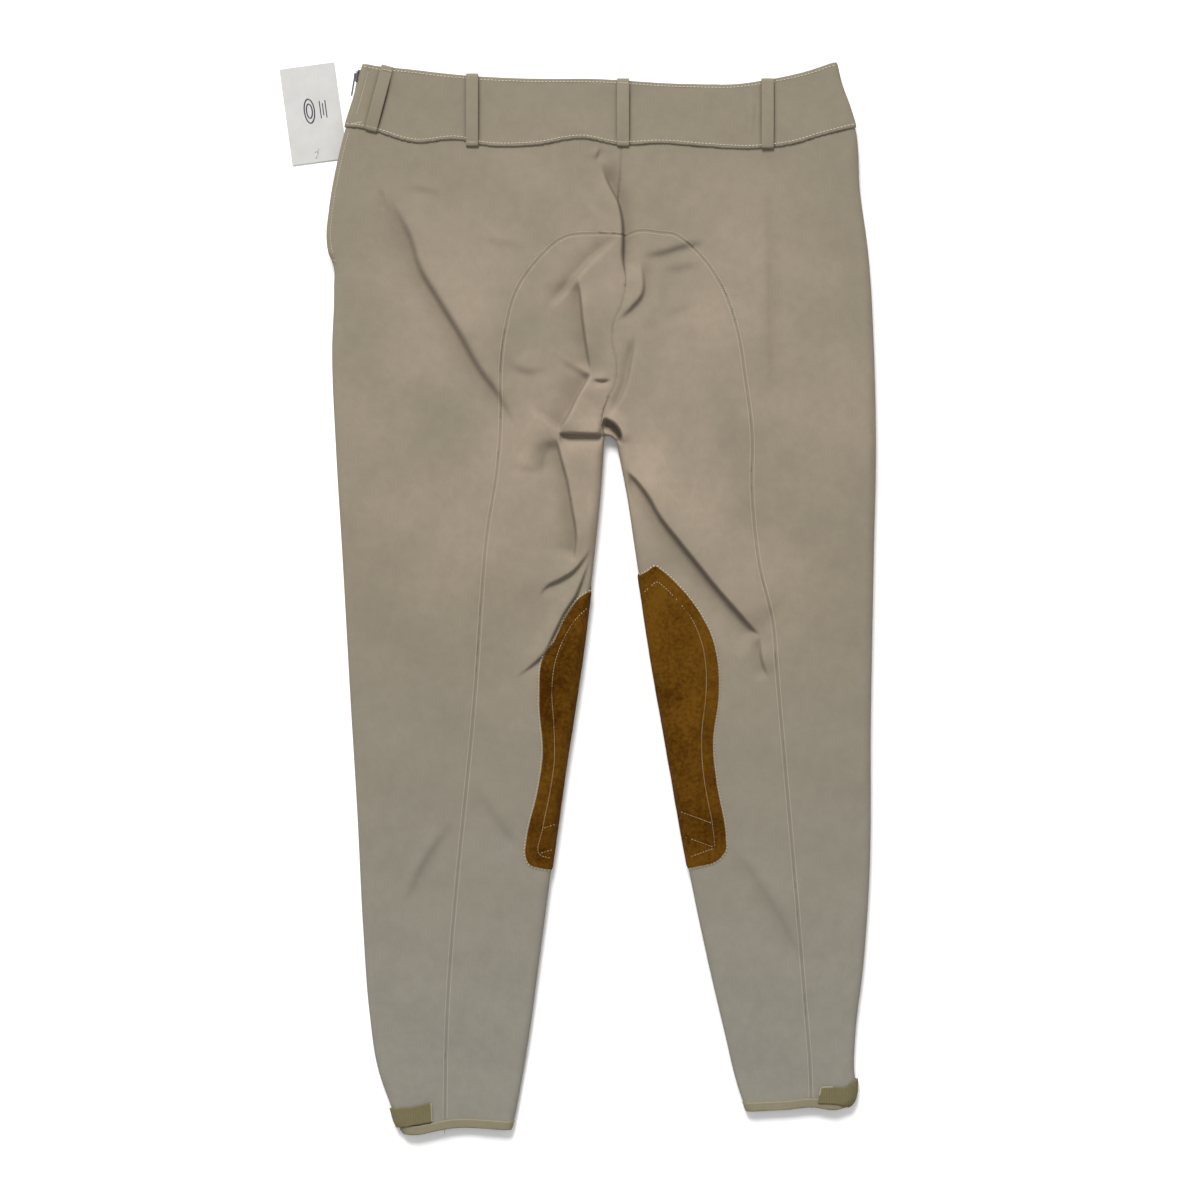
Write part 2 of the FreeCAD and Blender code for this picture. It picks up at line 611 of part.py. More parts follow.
def make_tag(doc, sheet):
    """The swing tag: a card with a hole near its lower edge, turned about the pin's stem."""
    body = doc.addObject("PartDesign::Body", "hang_tag")
    outline = sketch_on(body, "hang_tag_outline", "XY_Plane")
    half = sheet.card_width / 2
    low = -sheet.card_hole_up
    high = sheet.card_height - sheet.card_hole_up
    left = sheet.card_hole_side - half
    right = sheet.card_hole_side + half
    draw_ring(outline, [(left, low), (right, low), (right, high), (left, high)])
    outline.addConstraint([
        Sketcher.Constraint("Horizontal", 0), Sketcher.Constraint("Vertical", 1),
        Sketcher.Constraint("Horizontal", 2), Sketcher.Constraint("Vertical", 3)])
    for name, kind, line, value in (("width", "DistanceX", 0, sheet.card_width),
                                    ("height", "DistanceY", 1, sheet.card_height)):
        number = outline.addConstraint(Sketcher.Constraint(kind, line, 1, line, 2, value))
        outline.renameConstraint(number, name)
        outline.setExpression(f"Constraints.{name}", f"dims.card_{name}")
    outline.addConstraint(Sketcher.Constraint("DistanceX", 0, 1, -1, 1, -left))
    outline.addConstraint(Sketcher.Constraint("DistanceY", 0, 1, -1, 1, -low))
    pad = body.newObject("PartDesign::Pad", "hang_tag_pad")
    pad.Profile = outline
    pad.setExpression("Length", "dims.card_thickness")
    doc.recompute()
    hole = sketch_on(body, "hang_tag_hole", "XY_Plane")
    hole.addGeometry(Part.Circle(Vector(0, 0, 0), UP, sheet.card_hole), False)
    hole.addConstraint(Sketcher.Constraint("Coincident", 0, 3, -1, 1))
    number = hole.addConstraint(Sketcher.Constraint("Radius", 0, sheet.card_hole))
    hole.renameConstraint(number, "radius")
    hole.setExpression("Constraints.radius", "dims.card_hole")
    pocket = body.newObject("PartDesign::Pocket", "hang_tag_bore")
    pocket.Profile = hole
    pocket.Type = "ThroughAll"
    pocket.Reversed = True
    body.Placement = at(sheet.card_x, sheet.card_y, sheet.card_lift, sheet.card_lean)


def rod_between(doc, name, start, end, diameter):
    """A round rod from one point to another, its radius bound to the sheet."""
    rod = doc.addObject("Part::Cylinder", name)
    run = Vector(*end) - Vector(*start)
    rod.setExpression("Radius", f"dims.{diameter} / 2")
    rod.Height = run.Length
    rod.Placement = FreeCAD.Placement(Vector(*start), FreeCAD.Rotation(UP, run))
    return rod


def make_pin(doc, sheet):
    """The tag's moulded pin: a bar on the card, a stem through its hole, a wire to the band."""
    x, y = sheet.card_x, sheet.card_y
    wire_z = sheet.pin_wire / 2 + 0.03
    bar_z = sheet.card_lift + sheet.card_thickness + 0.3 + sheet.pin_bar / 2
    end_x, end_y = -203.0, 434.0
    half = sheet.pin_bar_length / 2
    parts = [
        rod_between(doc, "pin_bar", (x - half - 3, y - 1.5, bar_z), (x + half - 3, y + 1.0, bar_z),
                    "pin_bar"),
        rod_between(doc, "pin_stem", (x, y, wire_z), (x, y, bar_z), "pin_wire"),
        rod_between(doc, "pin_run", (x, y, wire_z), (end_x, end_y, wire_z), "pin_wire"),
        rod_between(doc, "pin_end", (end_x, end_y, wire_z), (end_x, end_y, sheet.lie), "pin_wire"),
    ]
    combine(doc, "tag_pin", "Fuse", parts[0], parts[1:])


def make_label(doc, sheet):
    """A blank care label hanging inside the back of the waistband."""
    inner_top = sheet.lie + sheet.band_cloth + sheet.facing_cloth + 2 * sheet.waist_half
    half = sheet.label_width / 2
    corners = [(-half, 0), (half, 0), (half, sheet.label_height), (-half, sheet.label_height)]
    label = padded(doc, "care_label", corners, "dims.label_cloth")
    label.Placement = at(85, 425, inner_top - sheet.label_cloth)


# ---------------------------------------------------------------- the whole object

NODES = (
    "left_back_panel right_back_panel left_seat_panel right_seat_panel left_front_panel "
    "right_front_panel back_waistband front_waistband waistband_facing belt_loop_side_left "
    "belt_loop_back_left belt_loop_back_centre belt_loop_back_right belt_loop_front_left "
    "belt_loop_front_right zip_tape_back zip_tape_front zip_coil_back zip_coil_front zip_top_stops "
    "zip_bottom_stop zip_slider zip_pull zip_guard waist_hook waist_bar left_knee_patch "
    "right_knee_patch left_hem_tape right_hem_tape left_ankle_loop_tape right_ankle_loop_tape "
    "left_ankle_tab right_ankle_tab left_ankle_hook_tape right_ankle_hook_tape hang_tag tag_pin "
    "care_label"
).split()


def check_and_write(doc):
    """Stop on any failed object or shape, then write each sub-part to its own file."""
    for item in doc.Objects:
        if "Invalid" in item.State or "Error" in item.State:
            raise RuntimeError(f"{item.Name} failed: {item.State}")
    pieces = [doc.getObject(name) for name in NODES]
    for name, piece in zip(NODES, pieces):
        if piece is None or piece.Shape.isNull() or not piece.Shape.isValid():
            raise RuntimeError(f"{name} has no valid shape")
    os.makedirs("parts", exist_ok=True)
    for name, piece in zip(NODES, pieces):
        piece.Label = name
        piece.Shape.exportStep(os.path.join("parts", f"{name}.step"))
        box = piece.Shape.BoundBox
        print(f"{name}: {piece.Shape.Volume:.0f} mm3, {len(piece.Shape.Solids)} solid(s), "
              f"x {box.XMin:.1f}..{box.XMax:.1f} y {box.YMin:.1f}..{box.YMax:.1f} "
              f"z {box.ZMin:.2f}..{box.ZMax:.2f}")


def main():
    doc = FreeCAD.newDocument("riding_breeches")
    sheet = new_sheet(doc)
    make_zip(doc, sheet)
    slit = zip_slit(sheet)
    tapes = [doc.getObject(name).Shape for name in ("zip_tape_back", "zip_tape_front")]
    make_panels(doc, sheet, slit, tapes)
    make_trim(doc, sheet)
    make_waistband(doc, sheet, slit, tapes)
    make_loops(doc, sheet)
    make_slider(doc, sheet)
    make_pull(doc, sheet)
    make_hook(doc, sheet)
    make_ankles(doc, sheet)
    make_tag(doc, sheet)
    make_pin(doc, sheet)
    make_label(doc, sheet)
    doc.recompute()
    check_and_write(doc)


main()
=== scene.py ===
"""Riding breeches lying flat on their front, with the back up: the cloth, trims and materials.

Lengths in this script are in millimetres until a mesh is made. +X runs to the wearer's right,
+Y up to the waistband, +Z up from the surface that the breeches lie on.
"""
import math

import bpy
import numpy as np
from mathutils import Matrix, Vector, geometry, kdtree


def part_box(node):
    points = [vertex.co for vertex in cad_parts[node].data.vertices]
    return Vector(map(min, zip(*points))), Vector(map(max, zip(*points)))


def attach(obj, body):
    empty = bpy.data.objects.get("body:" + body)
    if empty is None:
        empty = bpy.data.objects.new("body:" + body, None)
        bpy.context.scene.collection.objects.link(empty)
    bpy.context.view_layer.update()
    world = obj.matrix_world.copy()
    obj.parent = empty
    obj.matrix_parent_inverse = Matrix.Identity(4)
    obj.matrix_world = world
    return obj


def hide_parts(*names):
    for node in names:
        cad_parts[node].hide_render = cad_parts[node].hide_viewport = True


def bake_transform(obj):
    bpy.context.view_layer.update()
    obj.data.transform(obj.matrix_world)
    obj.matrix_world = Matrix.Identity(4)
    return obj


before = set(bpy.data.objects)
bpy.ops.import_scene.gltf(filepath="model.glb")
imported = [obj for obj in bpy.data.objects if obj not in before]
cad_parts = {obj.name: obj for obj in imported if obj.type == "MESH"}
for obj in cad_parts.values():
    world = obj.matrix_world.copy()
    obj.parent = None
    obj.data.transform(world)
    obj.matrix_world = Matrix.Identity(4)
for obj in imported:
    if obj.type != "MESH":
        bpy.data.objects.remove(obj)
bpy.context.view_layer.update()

MM = 0.001
FAR = 1e9

# ---- outline of the garment

# The outline runs anticlockwise, so the cloth is always on its left.
LEFT_OUTER = [(-194.5, 487), (-203, 456), (-211.3, 429), (-218.6, 400), (-226.8, 354), (-228.9, 327),
              (-227, 314), (-223.2, 305), (-222.3, 281), (-224, 226), (-220.4, 135), (-214.9, 43),
              (-206.7, -103), (-201.2, -194), (-195.7, -304), (-190.3, -377), (-182, -432),
              (-169.2, -468.5), (-163.5, -484), (-158, -491)]
CROTCH = (25, 147.5)
LEFT_INNER = [(-60.5, -487), (-57.7, -477.6), (-52.2, -450), (-43.1, -395), (-35.8, -340.5),
              (-21.2, -231), (-11.1, -158), (5.3, -48), (16.3, 43.4), (21.8, 98.3), (24, 132), CROTCH]
RIGHT_INNER = [CROTCH, (31, 147), (36, 142), (37.5, 134), (44.6, 98.3), (52.9, 43.4), (66.6, -48),
               (85.8, -158), (98.6, -231), (121.4, -340.5), (134.2, -395), (147.9, -450), (155, -470)]
RIGHT_OUTER = [(245, -466.5), (250.5, -463), (254.9, -449), (253.5, -432), (254.9, -395),
               (261.3, -340.5), (266.7, -267), (268.6, -103), (271.3, 43.4), (273.1, 135),
               (271.3, 226), (265.8, 317.6), (258.5, 372.5), (254, 430), (248.5, 448), (240, 472),
               (236, 489)]
LEFT_HEM = [(-158, -491), (-146.4, -491.3), (-131.7, -488.5), (-119, -486), (-60.5, -487)]
RIGHT_HEM = [(155, -470), (175, -469.3), (192, -468.4), (214.7, -466.1), (235.7, -468.4), (245, -466.5)]
BAND_BASE = [(-211.3, 429), (-194.8, 427.3), (-147.3, 414.5), (-107, 417), (-88.8, 412.7),
             (-42.2, 411.8), (8, 418), (34.6, 412.7), (77.6, 413.6), (117.8, 410.8), (158.9, 409),
             (199, 413.6), (220, 420), (254, 429)]
BAND_TOP = [(-194.5, 487), (-182, 484.5), (-157.3, 482), (-108, 476.6), (-24.8, 473), (5.3, 473),
            (101.3, 468.4), (148.8, 468.4), (168, 471.2), (210, 480.3), (236, 489)]

# ---- seams and patches

CENTRE_SEAM = [(41, 425), (39.2, 387), (37.3, 367), (40, 349), (43, 326), (43, 305), (44.6, 289),
               (41, 269), (33, 249), (31.9, 234), (36, 214), (34.6, 196), (27.3, 178.7),
               (23, 164), CROTCH]
SEAT_TOP = (43, 330)
LEFT_SEAT_SEAM = [SEAT_TOP, (16, 332), (-11, 329), (-38, 306), (-55, 281), (-66, 240), (-70, 196),
                  (-69.5, 164), (-72.4, 121), (-82.4, 56), (-87, 2), (-91, -60), (-118, -368),
                  (-119.5, -401), (-121, -492)]
RIGHT_SEAT_SEAM = [SEAT_TOP, (53, 334), (77.5, 332.6), (89, 331), (101, 323), (117.8, 306),
                   (132.4, 283), (146, 244), (153.4, 199), (159.4, 150), (159.4, 99), (166, 31),
                   (179, -26), (181.7, -60), (208, -368), (213, -433), (214, -467)]
LEFT_PATCH = [(14.5, 8), (1.7, -0.5), (-11, -17), (-22, -40), (-29.3, -49.8), (-34.8, -90),
              (-31.8, -145), (-35, -170), (-46.7, -222.6), (-47.6, -234.5), (-43.9, -243.6),
              (-34, -247.2), (-22.5, -248.8)]
RIGHT_PATCH = [(58, 20.5), (64.5, 24.5), (71, 28.8), (78, 24.5), (89.4, 14.2), (108.6, -8.7),
               (121.4, -31.5), (128.4, -59), (129.6, -83.6), (124.2, -136.6), (127.3, -167.7),
               (136, -219.8), (135.8, -230.8), (129.6, -239), (103, -247.2)]

# ---- how high the cloth lies

# up the garment, height of its underside, height of its top
LEVELS = [(-500, 1.5, 10), (-432, 1.5, 10), (-395, 1.5, 11.5), (-322, 1.5, 13), (-140, 1.5, 15.5),
          (50, 1.5, 16.5), (146, 1.5, 17.5), (240, 1.5, 17), (310, 2.7, 15.1), (500, 2.7, 15.1)]

# Each fold: its line, the rise and width of the cloth to the left of the line, the same to the
# right, how wide the step between the two is, and how long its ends fade.
FOLDS = [
    # long crease across the left buttock
    ([(-175.6, 375), (-168.8, 361), (-151.7, 327), (-144.8, 304), (-125.4, 270), (-107, 240),
      (-88.8, 208), (-70.5, 183), (-61.4, 167), (-52.3, 146)], (3.4, 36), (-3.0, 22), 2.4, 55),
    ([(-176.8, 375), (-174.5, 350)], (0.7, 5), (-0.9, 5), 1.8, 9),
    # fold from the waist to the seat, over the centre seam
    ([(21, 411), (16.3, 397.6)], (-1.0, 5), (0.9, 6), 1.3, 6),
    ([(21, 396), (30, 375), (38, 359), (41.4, 343), (41.9, 327), (41.4, 311), (43.7, 297), (46, 288)],
     (-3.2, 11), (3.4, 18), 1.1, 20),
    ([(0.3, 395), (2.6, 377), (14, 356.5), (32, 340.5)], (-0.6, 9), (0.9, 12), 3.0, 16),
    # roll that runs down from it and under the seam
    ([(57.4, 308.5), (60.8, 290), (59.7, 276.5), (50.6, 265), (36.9, 251.4)], (-1.8, 9), (1.7, 7), 1.6, 16),
    # creases right of it
    ([(55, 311), (75.7, 314), (96.3, 320), (121.4, 325.7)], (1.2, 11), (-1.2, 10), 2.4, 20),
    ([(70, 299), (94, 301), (118, 307)], (0.6, 11), (-0.5, 11), 3.2, 20),
    ([(72, 257), (90, 262), (112, 271)], (0.4, 11), (-0.35, 10), 3.4, 18),
    ([(54, 237.7), (49.4, 217), (46, 199), (37, 176), (30, 164.6)], (1.4, 14), (-2.0, 6), 1.5, 16),
    # creases left of it
    ([(39, 331.4), (30, 322), (18.6, 313), (0.3, 293.7), (-15.7, 274), (-29.4, 260.5)],
     (2.2, 14), (-2.2, 9), 2.2, 26),
    ([(0.3, 292.5), (2.6, 276.5), (4.9, 253.7), (8.3, 228.5), (12.9, 203.4)], (3.0, 12), (-2.7, 19), 1.1, 14),
    ([(12.9, 204), (8.3, 196.6), (0.3, 182.8), (-8.8, 164.6), (-18, 150.9)], (3.0, 15), (-3.6, 24), 1.0, 7),
    ([(13, 199), (22, 197.5), (31, 199)], (1.0, 6), (-1.9, 4), 1.2, 6),
    ([(-63.7, 221.7), (-56.8, 210.3), (-43, 205.7), (-24.8, 211.4)], (0.9, 15), (-0.6, 9), 3.2, 18),
    ([(-102.5, 331.4), (-61.4, 322), (-38.6, 317.7)], (0.4, 11), (-0.35, 10), 3.4, 30),
    ([(-160, 374), (-141, 372.5), (-118, 366)], (0.45, 8), (-0.4, 8), 2.6, 20),
    # edge that hangs over the inner left thigh, and the creases below it
    ([(-16.8, 149.4), (7.2, 148.9), (25, 148.4)], (1.8, 14), (-3.6, 8), 0.8, 4),
    ([(-19, 146.2), (-15.7, 131.4), (-8.8, 105), (-4.3, 80), (-0.8, 54.8), (-3.1, 32)],
     (2.2, 13), (-2.9, 14), 0.9, 12),
    ([(-19, 148), (-29.4, 132.5), (-34, 108)], (-1.8, 9), (-1.8, 9), 2.0, 14),
    ([(-62, 120), (-50, 118.8), (-38.6, 116.5), (-29.4, 125.7)], (0.6, 12), (-0.5, 10), 3.4, 16),
    # roll round the hollow at the crotch
    ([(24.3, 163.4), (34.6, 157.7), (40.3, 148.6), (40.3, 139.4)], (2.2, 7), (-8.0, 9), 0.9, 4),
    # overlap across the right thigh, with its hook
    ([(43.7, 116.5), (52.9, 107.4), (64.3, 92.5), (75.7, 73), (91.7, 52.5), (110, 29.7), (130.5, 4.6),
      (148.8, -16), (162.5, -31), (168.2, -35.4)], (3.4, 32), (-3.4, 20), 1.0, 14),
    ([(168.2, -35.4), (167, -48), (170.5, -64), (175, -74.3)], (1.6, 11), (-1.8, 12), 1.1, 11),
    # two folds above the left knee patch
    ([(14, 46.8), (7.2, 36.5), (-2, 25), (-15.7, 16), (-27, 10.3), (-36.3, -2.3)],
     (-1.7, 7), (1.8, 9), 1.0, 22),
    ([(15, 43.4), (7.2, 22.8), (-0.8, 2.3), (-11, -13.7), (-21.4, -34.3), (-29.4, -50.3), (-40.8, -61.7),
      (-59, -75.4)], (-2.1, 6), (2.0, 10), 0.9, 34),
    # slack in the calves
    ([(140, -225), (165, -258), (190, -300), (212, -345)], (1.2, 18), (-1.2, 20), 5.0, 35),
    ([(-110, -200), (-134.5, -233), (-161, -287)], (-0.9, 14), (1.1, 10), 4.0, 28),
    ([(-91.5, -174), (-70, -206), (-48.6, -233)], (0.8, 14), (-0.8, 12), 5.0, 24),
    # soft hollow down the right hip
    ([(172, 385), (174, 330), (175, 250), (177, 160)], (-1.0, 17), (0.8, 18), 5.0, 70),
]
# small creases where the waistband is gathered by a belt loop
BAND_CREASES = [
    ([(153, 465), (158, 444), (156, 420)], (0.7, 4), (-0.6, 3), 1.2, 10),
    ([(163, 466), (164.5, 446), (163, 425)], (0.5, 3), (-0.6, 3), 1.0, 12),
    ([(-78, 470), (-72, 450), (-75, 428)], (0.4, 8), (-0.3, 8), 3.0, 14),
]


def smooth(points, step=3.0):
    """A smooth line through the points, sampled about every step millimetres."""
    p = np.array(points, float)
    gap = np.hypot(*np.diff(p, axis=0).T)
    at = np.concatenate([[0], np.cumsum(gap)])
    slope = np.gradient(p, at, axis=0)
    s = np.linspace(0, at[-1], max(3, int(at[-1] / step) + 1))
    i = np.clip(np.searchsorted(at, s, side="right") - 1, 0, len(p) - 2)
    g = gap[i][:, None]
    u = ((s - at[i]) / gap[i])[:, None]
    return ((2 * u**3 - 3 * u**2 + 1) * p[i] + (u**3 - 2 * u**2 + u) * g * slope[i]
            + (3 * u**2 - 2 * u**3) * p[i + 1] + (u**3 - u**2) * g * slope[i + 1])


def unit(rows):
    """Each row as a direction of length 1."""
    return rows / np.linalg.norm(rows, axis=1)[:, None]


def left_of(ahead):
    """Each flat direction, turned a quarter to the left."""
    return np.column_stack([-ahead[:, 1], ahead[:, 0]])


def area_of(ring):
    """The area inside a ring, negative where the ring runs clockwise."""
    x, y = ring.T
    return (x * np.roll(y, -1) - y * np.roll(x, -1)).sum() / 2


def nearest(xy, line):
    """For each point: its distance from the line, its signed distance (+ to the left), how far
    along the line it is, and the direction from the line to it."""
    count = len(xy)
    gap, signed, along = np.full(count, FAR), np.zeros(count), np.zeros(count)
    away = np.zeros((count, 2))
    done = 0.0
    for start, step in zip(line[:-1], np.diff(line, axis=0)):
        length = math.hypot(*step)
        if length == 0:
            continue
        ahead = step / length
        across = np.array([-ahead[1], ahead[0]])
        rel = xy - start
        t = np.clip(rel @ ahead, 0, length)
        off = rel - t[:, None] * ahead
        far = np.hypot(off[:, 0], off[:, 1])
        new = far < gap
        gap[new] = far[new]
        along[new] = done + t[new]
        signed[new] = np.where(rel[new] @ across < 0, -far[new], far[new])
        away[new] = np.where((far[new] > 0.4)[:, None], off[new] / np.maximum(far[new], 0.1)[:, None]
                             * np.sign(signed[new])[:, None], across)
        done += length
    return gap, signed, along, away


def soft_step(t):
    t = np.clip(t, 0, 1)
    return t * t * (3 - 2 * t)


EDGES = [smooth(LEFT_OUTER), np.concatenate([smooth(LEFT_INNER), smooth(RIGHT_INNER)[1:]]),
         smooth(RIGHT_OUTER)]


def from_edge(xy):
    """Distance in from the side edges of the garment, and the direction inwards."""
    gap, inward = np.full(len(xy), FAR), np.zeros((len(xy), 2))
    for line in EDGES:
        near, _, _, way = nearest(xy, line)
        closer = near < gap
        gap[closer], inward[closer] = near[closer], way[closer]
    return gap, inward


FOLD_DEPTH = 1.6
LONG_FADE = 2.2     # how much longer the raised side of a fold fades than its hollow side
HOLLOW = 3          # a side that sinks this far is in full shade


def strokes(xy, folds, depth=1.0):
    """Height that a list of folds adds at each point, and how much painted shade their creases put there."""
    rise, shade = np.zeros(len(xy)), np.zeros(len(xy))
    for points, (left, left_width), (right, right_width), step, fade in folds:
        line = smooth(points, 4.0)
        reach = 2.4 * max(left_width, right_width)
        close = np.all((xy > line.min(0) - reach) & (xy < line.max(0) + reach), axis=1)
        if not close.any():
            continue
        _, s, along, _ = nearest(xy[close], line)
        length = np.hypot(*np.diff(line, axis=0).T).sum()
        room = np.minimum(along, length - along)
        ends = soft_step(room / fade)
        long_ends = soft_step(room / min(LONG_FADE * fade, 0.5 * length))
        on_left = 0.5 + 0.5 * np.tanh(s / step)
        for low, width, side in ((left, left_width, on_left), (right, right_width, 1 - on_left)):
            rise[close] += (ends if low < 0 else long_ends) * low * np.exp(-(s / width) ** 2) * side
            # painted shade on the hollow side: a soft darkening, and a dark line close to the fold, where
            # shadow would fall
            if low < 0:
                fall = np.minimum(-low / HOLLOW, 1)
                shade[close] += ends * side * fall * (0.55 * np.exp(-(s / (0.65 * width)) ** 2)
                                                      + 0.4 * np.exp(-((abs(s) - 0.6) / 1.3) ** 2))
    return rise * depth, np.minimum(shade, 1.3)


def waves(xy, length, count, seed):
    """Gentle irregular waves, about 1 high."""
    random = np.random.default_rng(seed)
    total = np.zeros(len(xy))
    for _ in range(count):
        angle, phase = random.uniform(0, math.tau, 2)
        k = math.tau / (length * random.uniform(0.7, 1.5))
        total += np.sin(k * (xy @ [math.cos(angle), math.sin(angle)]) + phase)
    return total / math.sqrt(count)


ZIP_FOOT = 305
ZIP_OPEN = 2.3      # half the gap between the two cloth edges at the zip
ZIP_FADE = 8        # the gap opens over this length
ZIP_SIDE = -120     # the zip is to the left of this
EDGE_ROLL = (0.9, 1.5)      # radius of the rolled side edges: share of the half height, and more
FOLD_MARGIN = 6     # folds fade out this near to the side edges
# height, length, number and seed of the waves in slack cloth
SLACK = [(0.8, 95, 7, 3), (0.14, 24, 9, 4)]
UNDER_SLACK = 0.35


def surface(xy, over=True):
    """Points on the garment's upper or lower side, and which way the cloth faces there."""
    x, y = xy.T
    up, under, top = np.array(LEVELS, float).T
    low, high = np.interp(y, up, under), np.interp(y, up, top)
    way = 1 if over else -1
    apart = ZIP_OPEN * soft_step((y - ZIP_FOOT) / ZIP_FADE) * (x < ZIP_SIDE)
    half = (high - low) / 2 - apart
    gap, inward = from_edge(xy)
    radius = EDGE_ROLL[0] * half + EDGE_ROLL[1]
    s = 1 - np.clip(gap / radius, 0, 1)
    arch = np.sqrt(1 - s**2)
    z = (low + high) / 2 + way * (apart + half * arch)
    inside = soft_step(gap / FOLD_MARGIN)
    if over:
        rise = strokes(xy, FOLDS, FOLD_DEPTH)[0]
        for height, length, count, seed in SLACK:
            rise += height * waves(xy, length, count, seed)
        z += inside * rise
    else:
        z += inside * UNDER_SLACK * (1 + waves(xy, 80, 7, 5) / 2)
    slope = half * s / (radius * np.maximum(arch, 1e-3))
    facing = np.column_stack([-slope[:, None] * inward, np.full(len(xy), way)])
    return np.column_stack([xy, z]), unit(facing)


# ---- mesh building

def stretch(line, start, end):
    """The part of a line between the places nearest two points."""
    i, j = (int(np.argmin(np.hypot(*(line - p).T))) for p in (start, end))
    return line[i:j + 1] if i <= j else line[j:i + 1][::-1]


SHORTEST_SIDE = 0.7


def ring_of(*lines, shrink=0.02):
    """A closed anticlockwise ring from lines that follow each other, drawn in by shrink."""
    ring = []
    for p in np.concatenate(lines):
        if not ring or math.hypot(*(p - ring[-1])) > SHORTEST_SIDE:
            ring.append(p)
    if math.hypot(*(ring[0] - ring[-1])) < SHORTEST_SIDE:
        ring.pop()
    ring = np.array(ring)
    if area_of(ring) < 0:
        ring = ring[::-1]
    across = left_of(np.roll(ring, -1, 0) - np.roll(ring, 1, 0))
    return ring + shrink * across / np.linalg.norm(across, axis=1)[:, None]


def tree_of(points):
    tree = kdtree.KDTree(len(points))
    for i, (x, y) in enumerate(points):
        tree.insert((x, y, 0), i)
    tree.balance()
    return tree


def clear_of(points, tree, distance):
    return np.array([tree.find((x, y, 0))[2] > distance for x, y in points], bool)


def beside(line, offsets):
    """Points at some distances to the left of a line."""
    ahead = np.gradient(line, axis=0)
    across = left_of(ahead) / np.hypot(*ahead.T)[:, None]
    return np.concatenate([line + o * across for o in offsets])


EDGE_OFFSETS = (0.3, 1.0, 2.1, 3.6, 5.5, 7.6)
FOLD_OFFSETS = (-4.2, -2.6, -1.4, -0.5, 0.5, 1.4, 2.6, 4.2)
SHARP_STEP = 2      # folds with a narrower step than this get their own points
DETAIL_GRID = 0.5


def detail_points(ring, folds):
    """Extra points where the cloth bends sharply: along the side edges and the folds."""
    found = [beside(line, EDGE_OFFSETS) for line in EDGES]
    found += [beside(smooth(points, 2.0), FOLD_OFFSETS)
              for points, _, _, step, _ in folds if step < SHARP_STEP]
    points = np.unique(np.round(np.concatenate(found) / DETAIL_GRID) * DETAIL_GRID, axis=0)
    return points[np.all((points > ring.min(0)) & (points < ring.max(0)), axis=1)]


def fill(ring, spacing, folds=(), rim=()):
    """Triangles that fill a ring, with small ones where the cloth bends sharply and inside its rim."""
    low, high = ring.min(0), ring.max(0)
    rows = np.arange(low[1], high[1], spacing * math.sqrt(3) / 2)
    columns = np.arange(low[0], high[0], spacing)
    grid = np.array([(x + (i % 2) * spacing / 2, y) for i, y in enumerate(rows) for x in columns])
    fine = np.concatenate([np.linspace(a, b, 6, endpoint=False)
                           for a, b in zip(ring, np.roll(ring, -1, 0))])
    border = tree_of(fine)
    extra = detail_points(ring, folds)
    if len(extra):
        extra = extra[clear_of(extra, border, 0.45)]
    if len(extra):
        grid = grid[clear_of(grid, tree_of(extra), 0.7 * spacing)]
    if len(grid):
        grid = grid[clear_of(grid, border, 0.5 * spacing)]
    edging = beside(np.concatenate([ring, ring[:1]]), rim) if rim else ring[:0]
    points = np.concatenate([ring, extra, grid, edging])
    count = len(ring)
    sides = [(i, (i + 1) % count) for i in range(count)]
    made = geometry.delaunay_2d_cdt([Vector(p) for p in points], sides, [list(range(count))], 1, 1e-7)
    corners, faces = np.array([tuple(p) for p in made[0]]), np.array(made[2])
    used = np.unique(faces)
    new = np.zeros(len(corners), int)
    new[used] = np.arange(len(used))
    return corners[used], new[faces]


def solid_sheet(xy, faces, outer, inner, over=True):
    """A closed sheet between its outer and inner points, with a rim all round."""
    count = len(xy)
    sides = np.concatenate([faces[:, [0, 1]], faces[:, [1, 2]], faces[:, [2, 0]]])
    key = np.sort(sides, axis=1) @ [count, 1]
    _, first, uses = np.unique(key, return_index=True, return_counts=True)
    a, b = sides[first[uses == 1]].T
    rim = np.concatenate([np.column_stack([b, a, a + count]), np.column_stack([b, a + count, b + count])])
    every = np.concatenate([faces, faces[:, ::-1] + count, rim])
    return np.concatenate([outer, inner]), every if over else every[:, ::-1]


RIM_ANGLE = 72


def add_object(name, data):
    made = bpy.data.objects.new(name, data)
    bpy.context.scene.collection.objects.link(made)
    return made


def make(name, parts, material, nodes=(), body="breeches"):
    """One object from some closed shells, given as points and triangles."""
    points, faces, base = [], [], 0
    for p, f in parts:
        points.append(p)
        faces.append(f + base)
        base += len(p)
    points, faces = np.concatenate(points) * MM, np.concatenate(faces)
    mesh = bpy.data.meshes.new(name)
    mesh.vertices.add(len(points))
    mesh.vertices.foreach_set("co", points.ravel())
    mesh.loops.add(3 * len(faces))
    mesh.loops.foreach_set("vertex_index", faces.ravel())
    mesh.polygons.add(len(faces))
    mesh.polygons.foreach_set("loop_start", np.arange(0, 3 * len(faces), 3))
    mesh.polygons.foreach_set("use_smooth", np.ones(len(faces), bool))
    mesh.update()
    mesh.validate()
    mesh.set_sharp_from_angle(angle=math.radians(RIM_ANGLE))
    mesh.materials.append(material)
    piece = add_object(name, mesh)
    if body:
        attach(piece, body)
    if nodes:
        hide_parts(*nodes)
    return piece


# ---- cloth panels

CLOTH = 0.95
PANEL_SPACING, UNDER_SPACING = 2.2, 4.0
SEAM_WIDTH = 0.7
SEAM_SHADE = 0.42
SEAMS = [smooth(CENTRE_SEAM), smooth(LEFT_SEAT_SEAM), smooth(RIGHT_SEAT_SEAM)]
FRONT_SEAM = smooth([(28, 425), (28, 300), (26.5, 200), CROTCH])


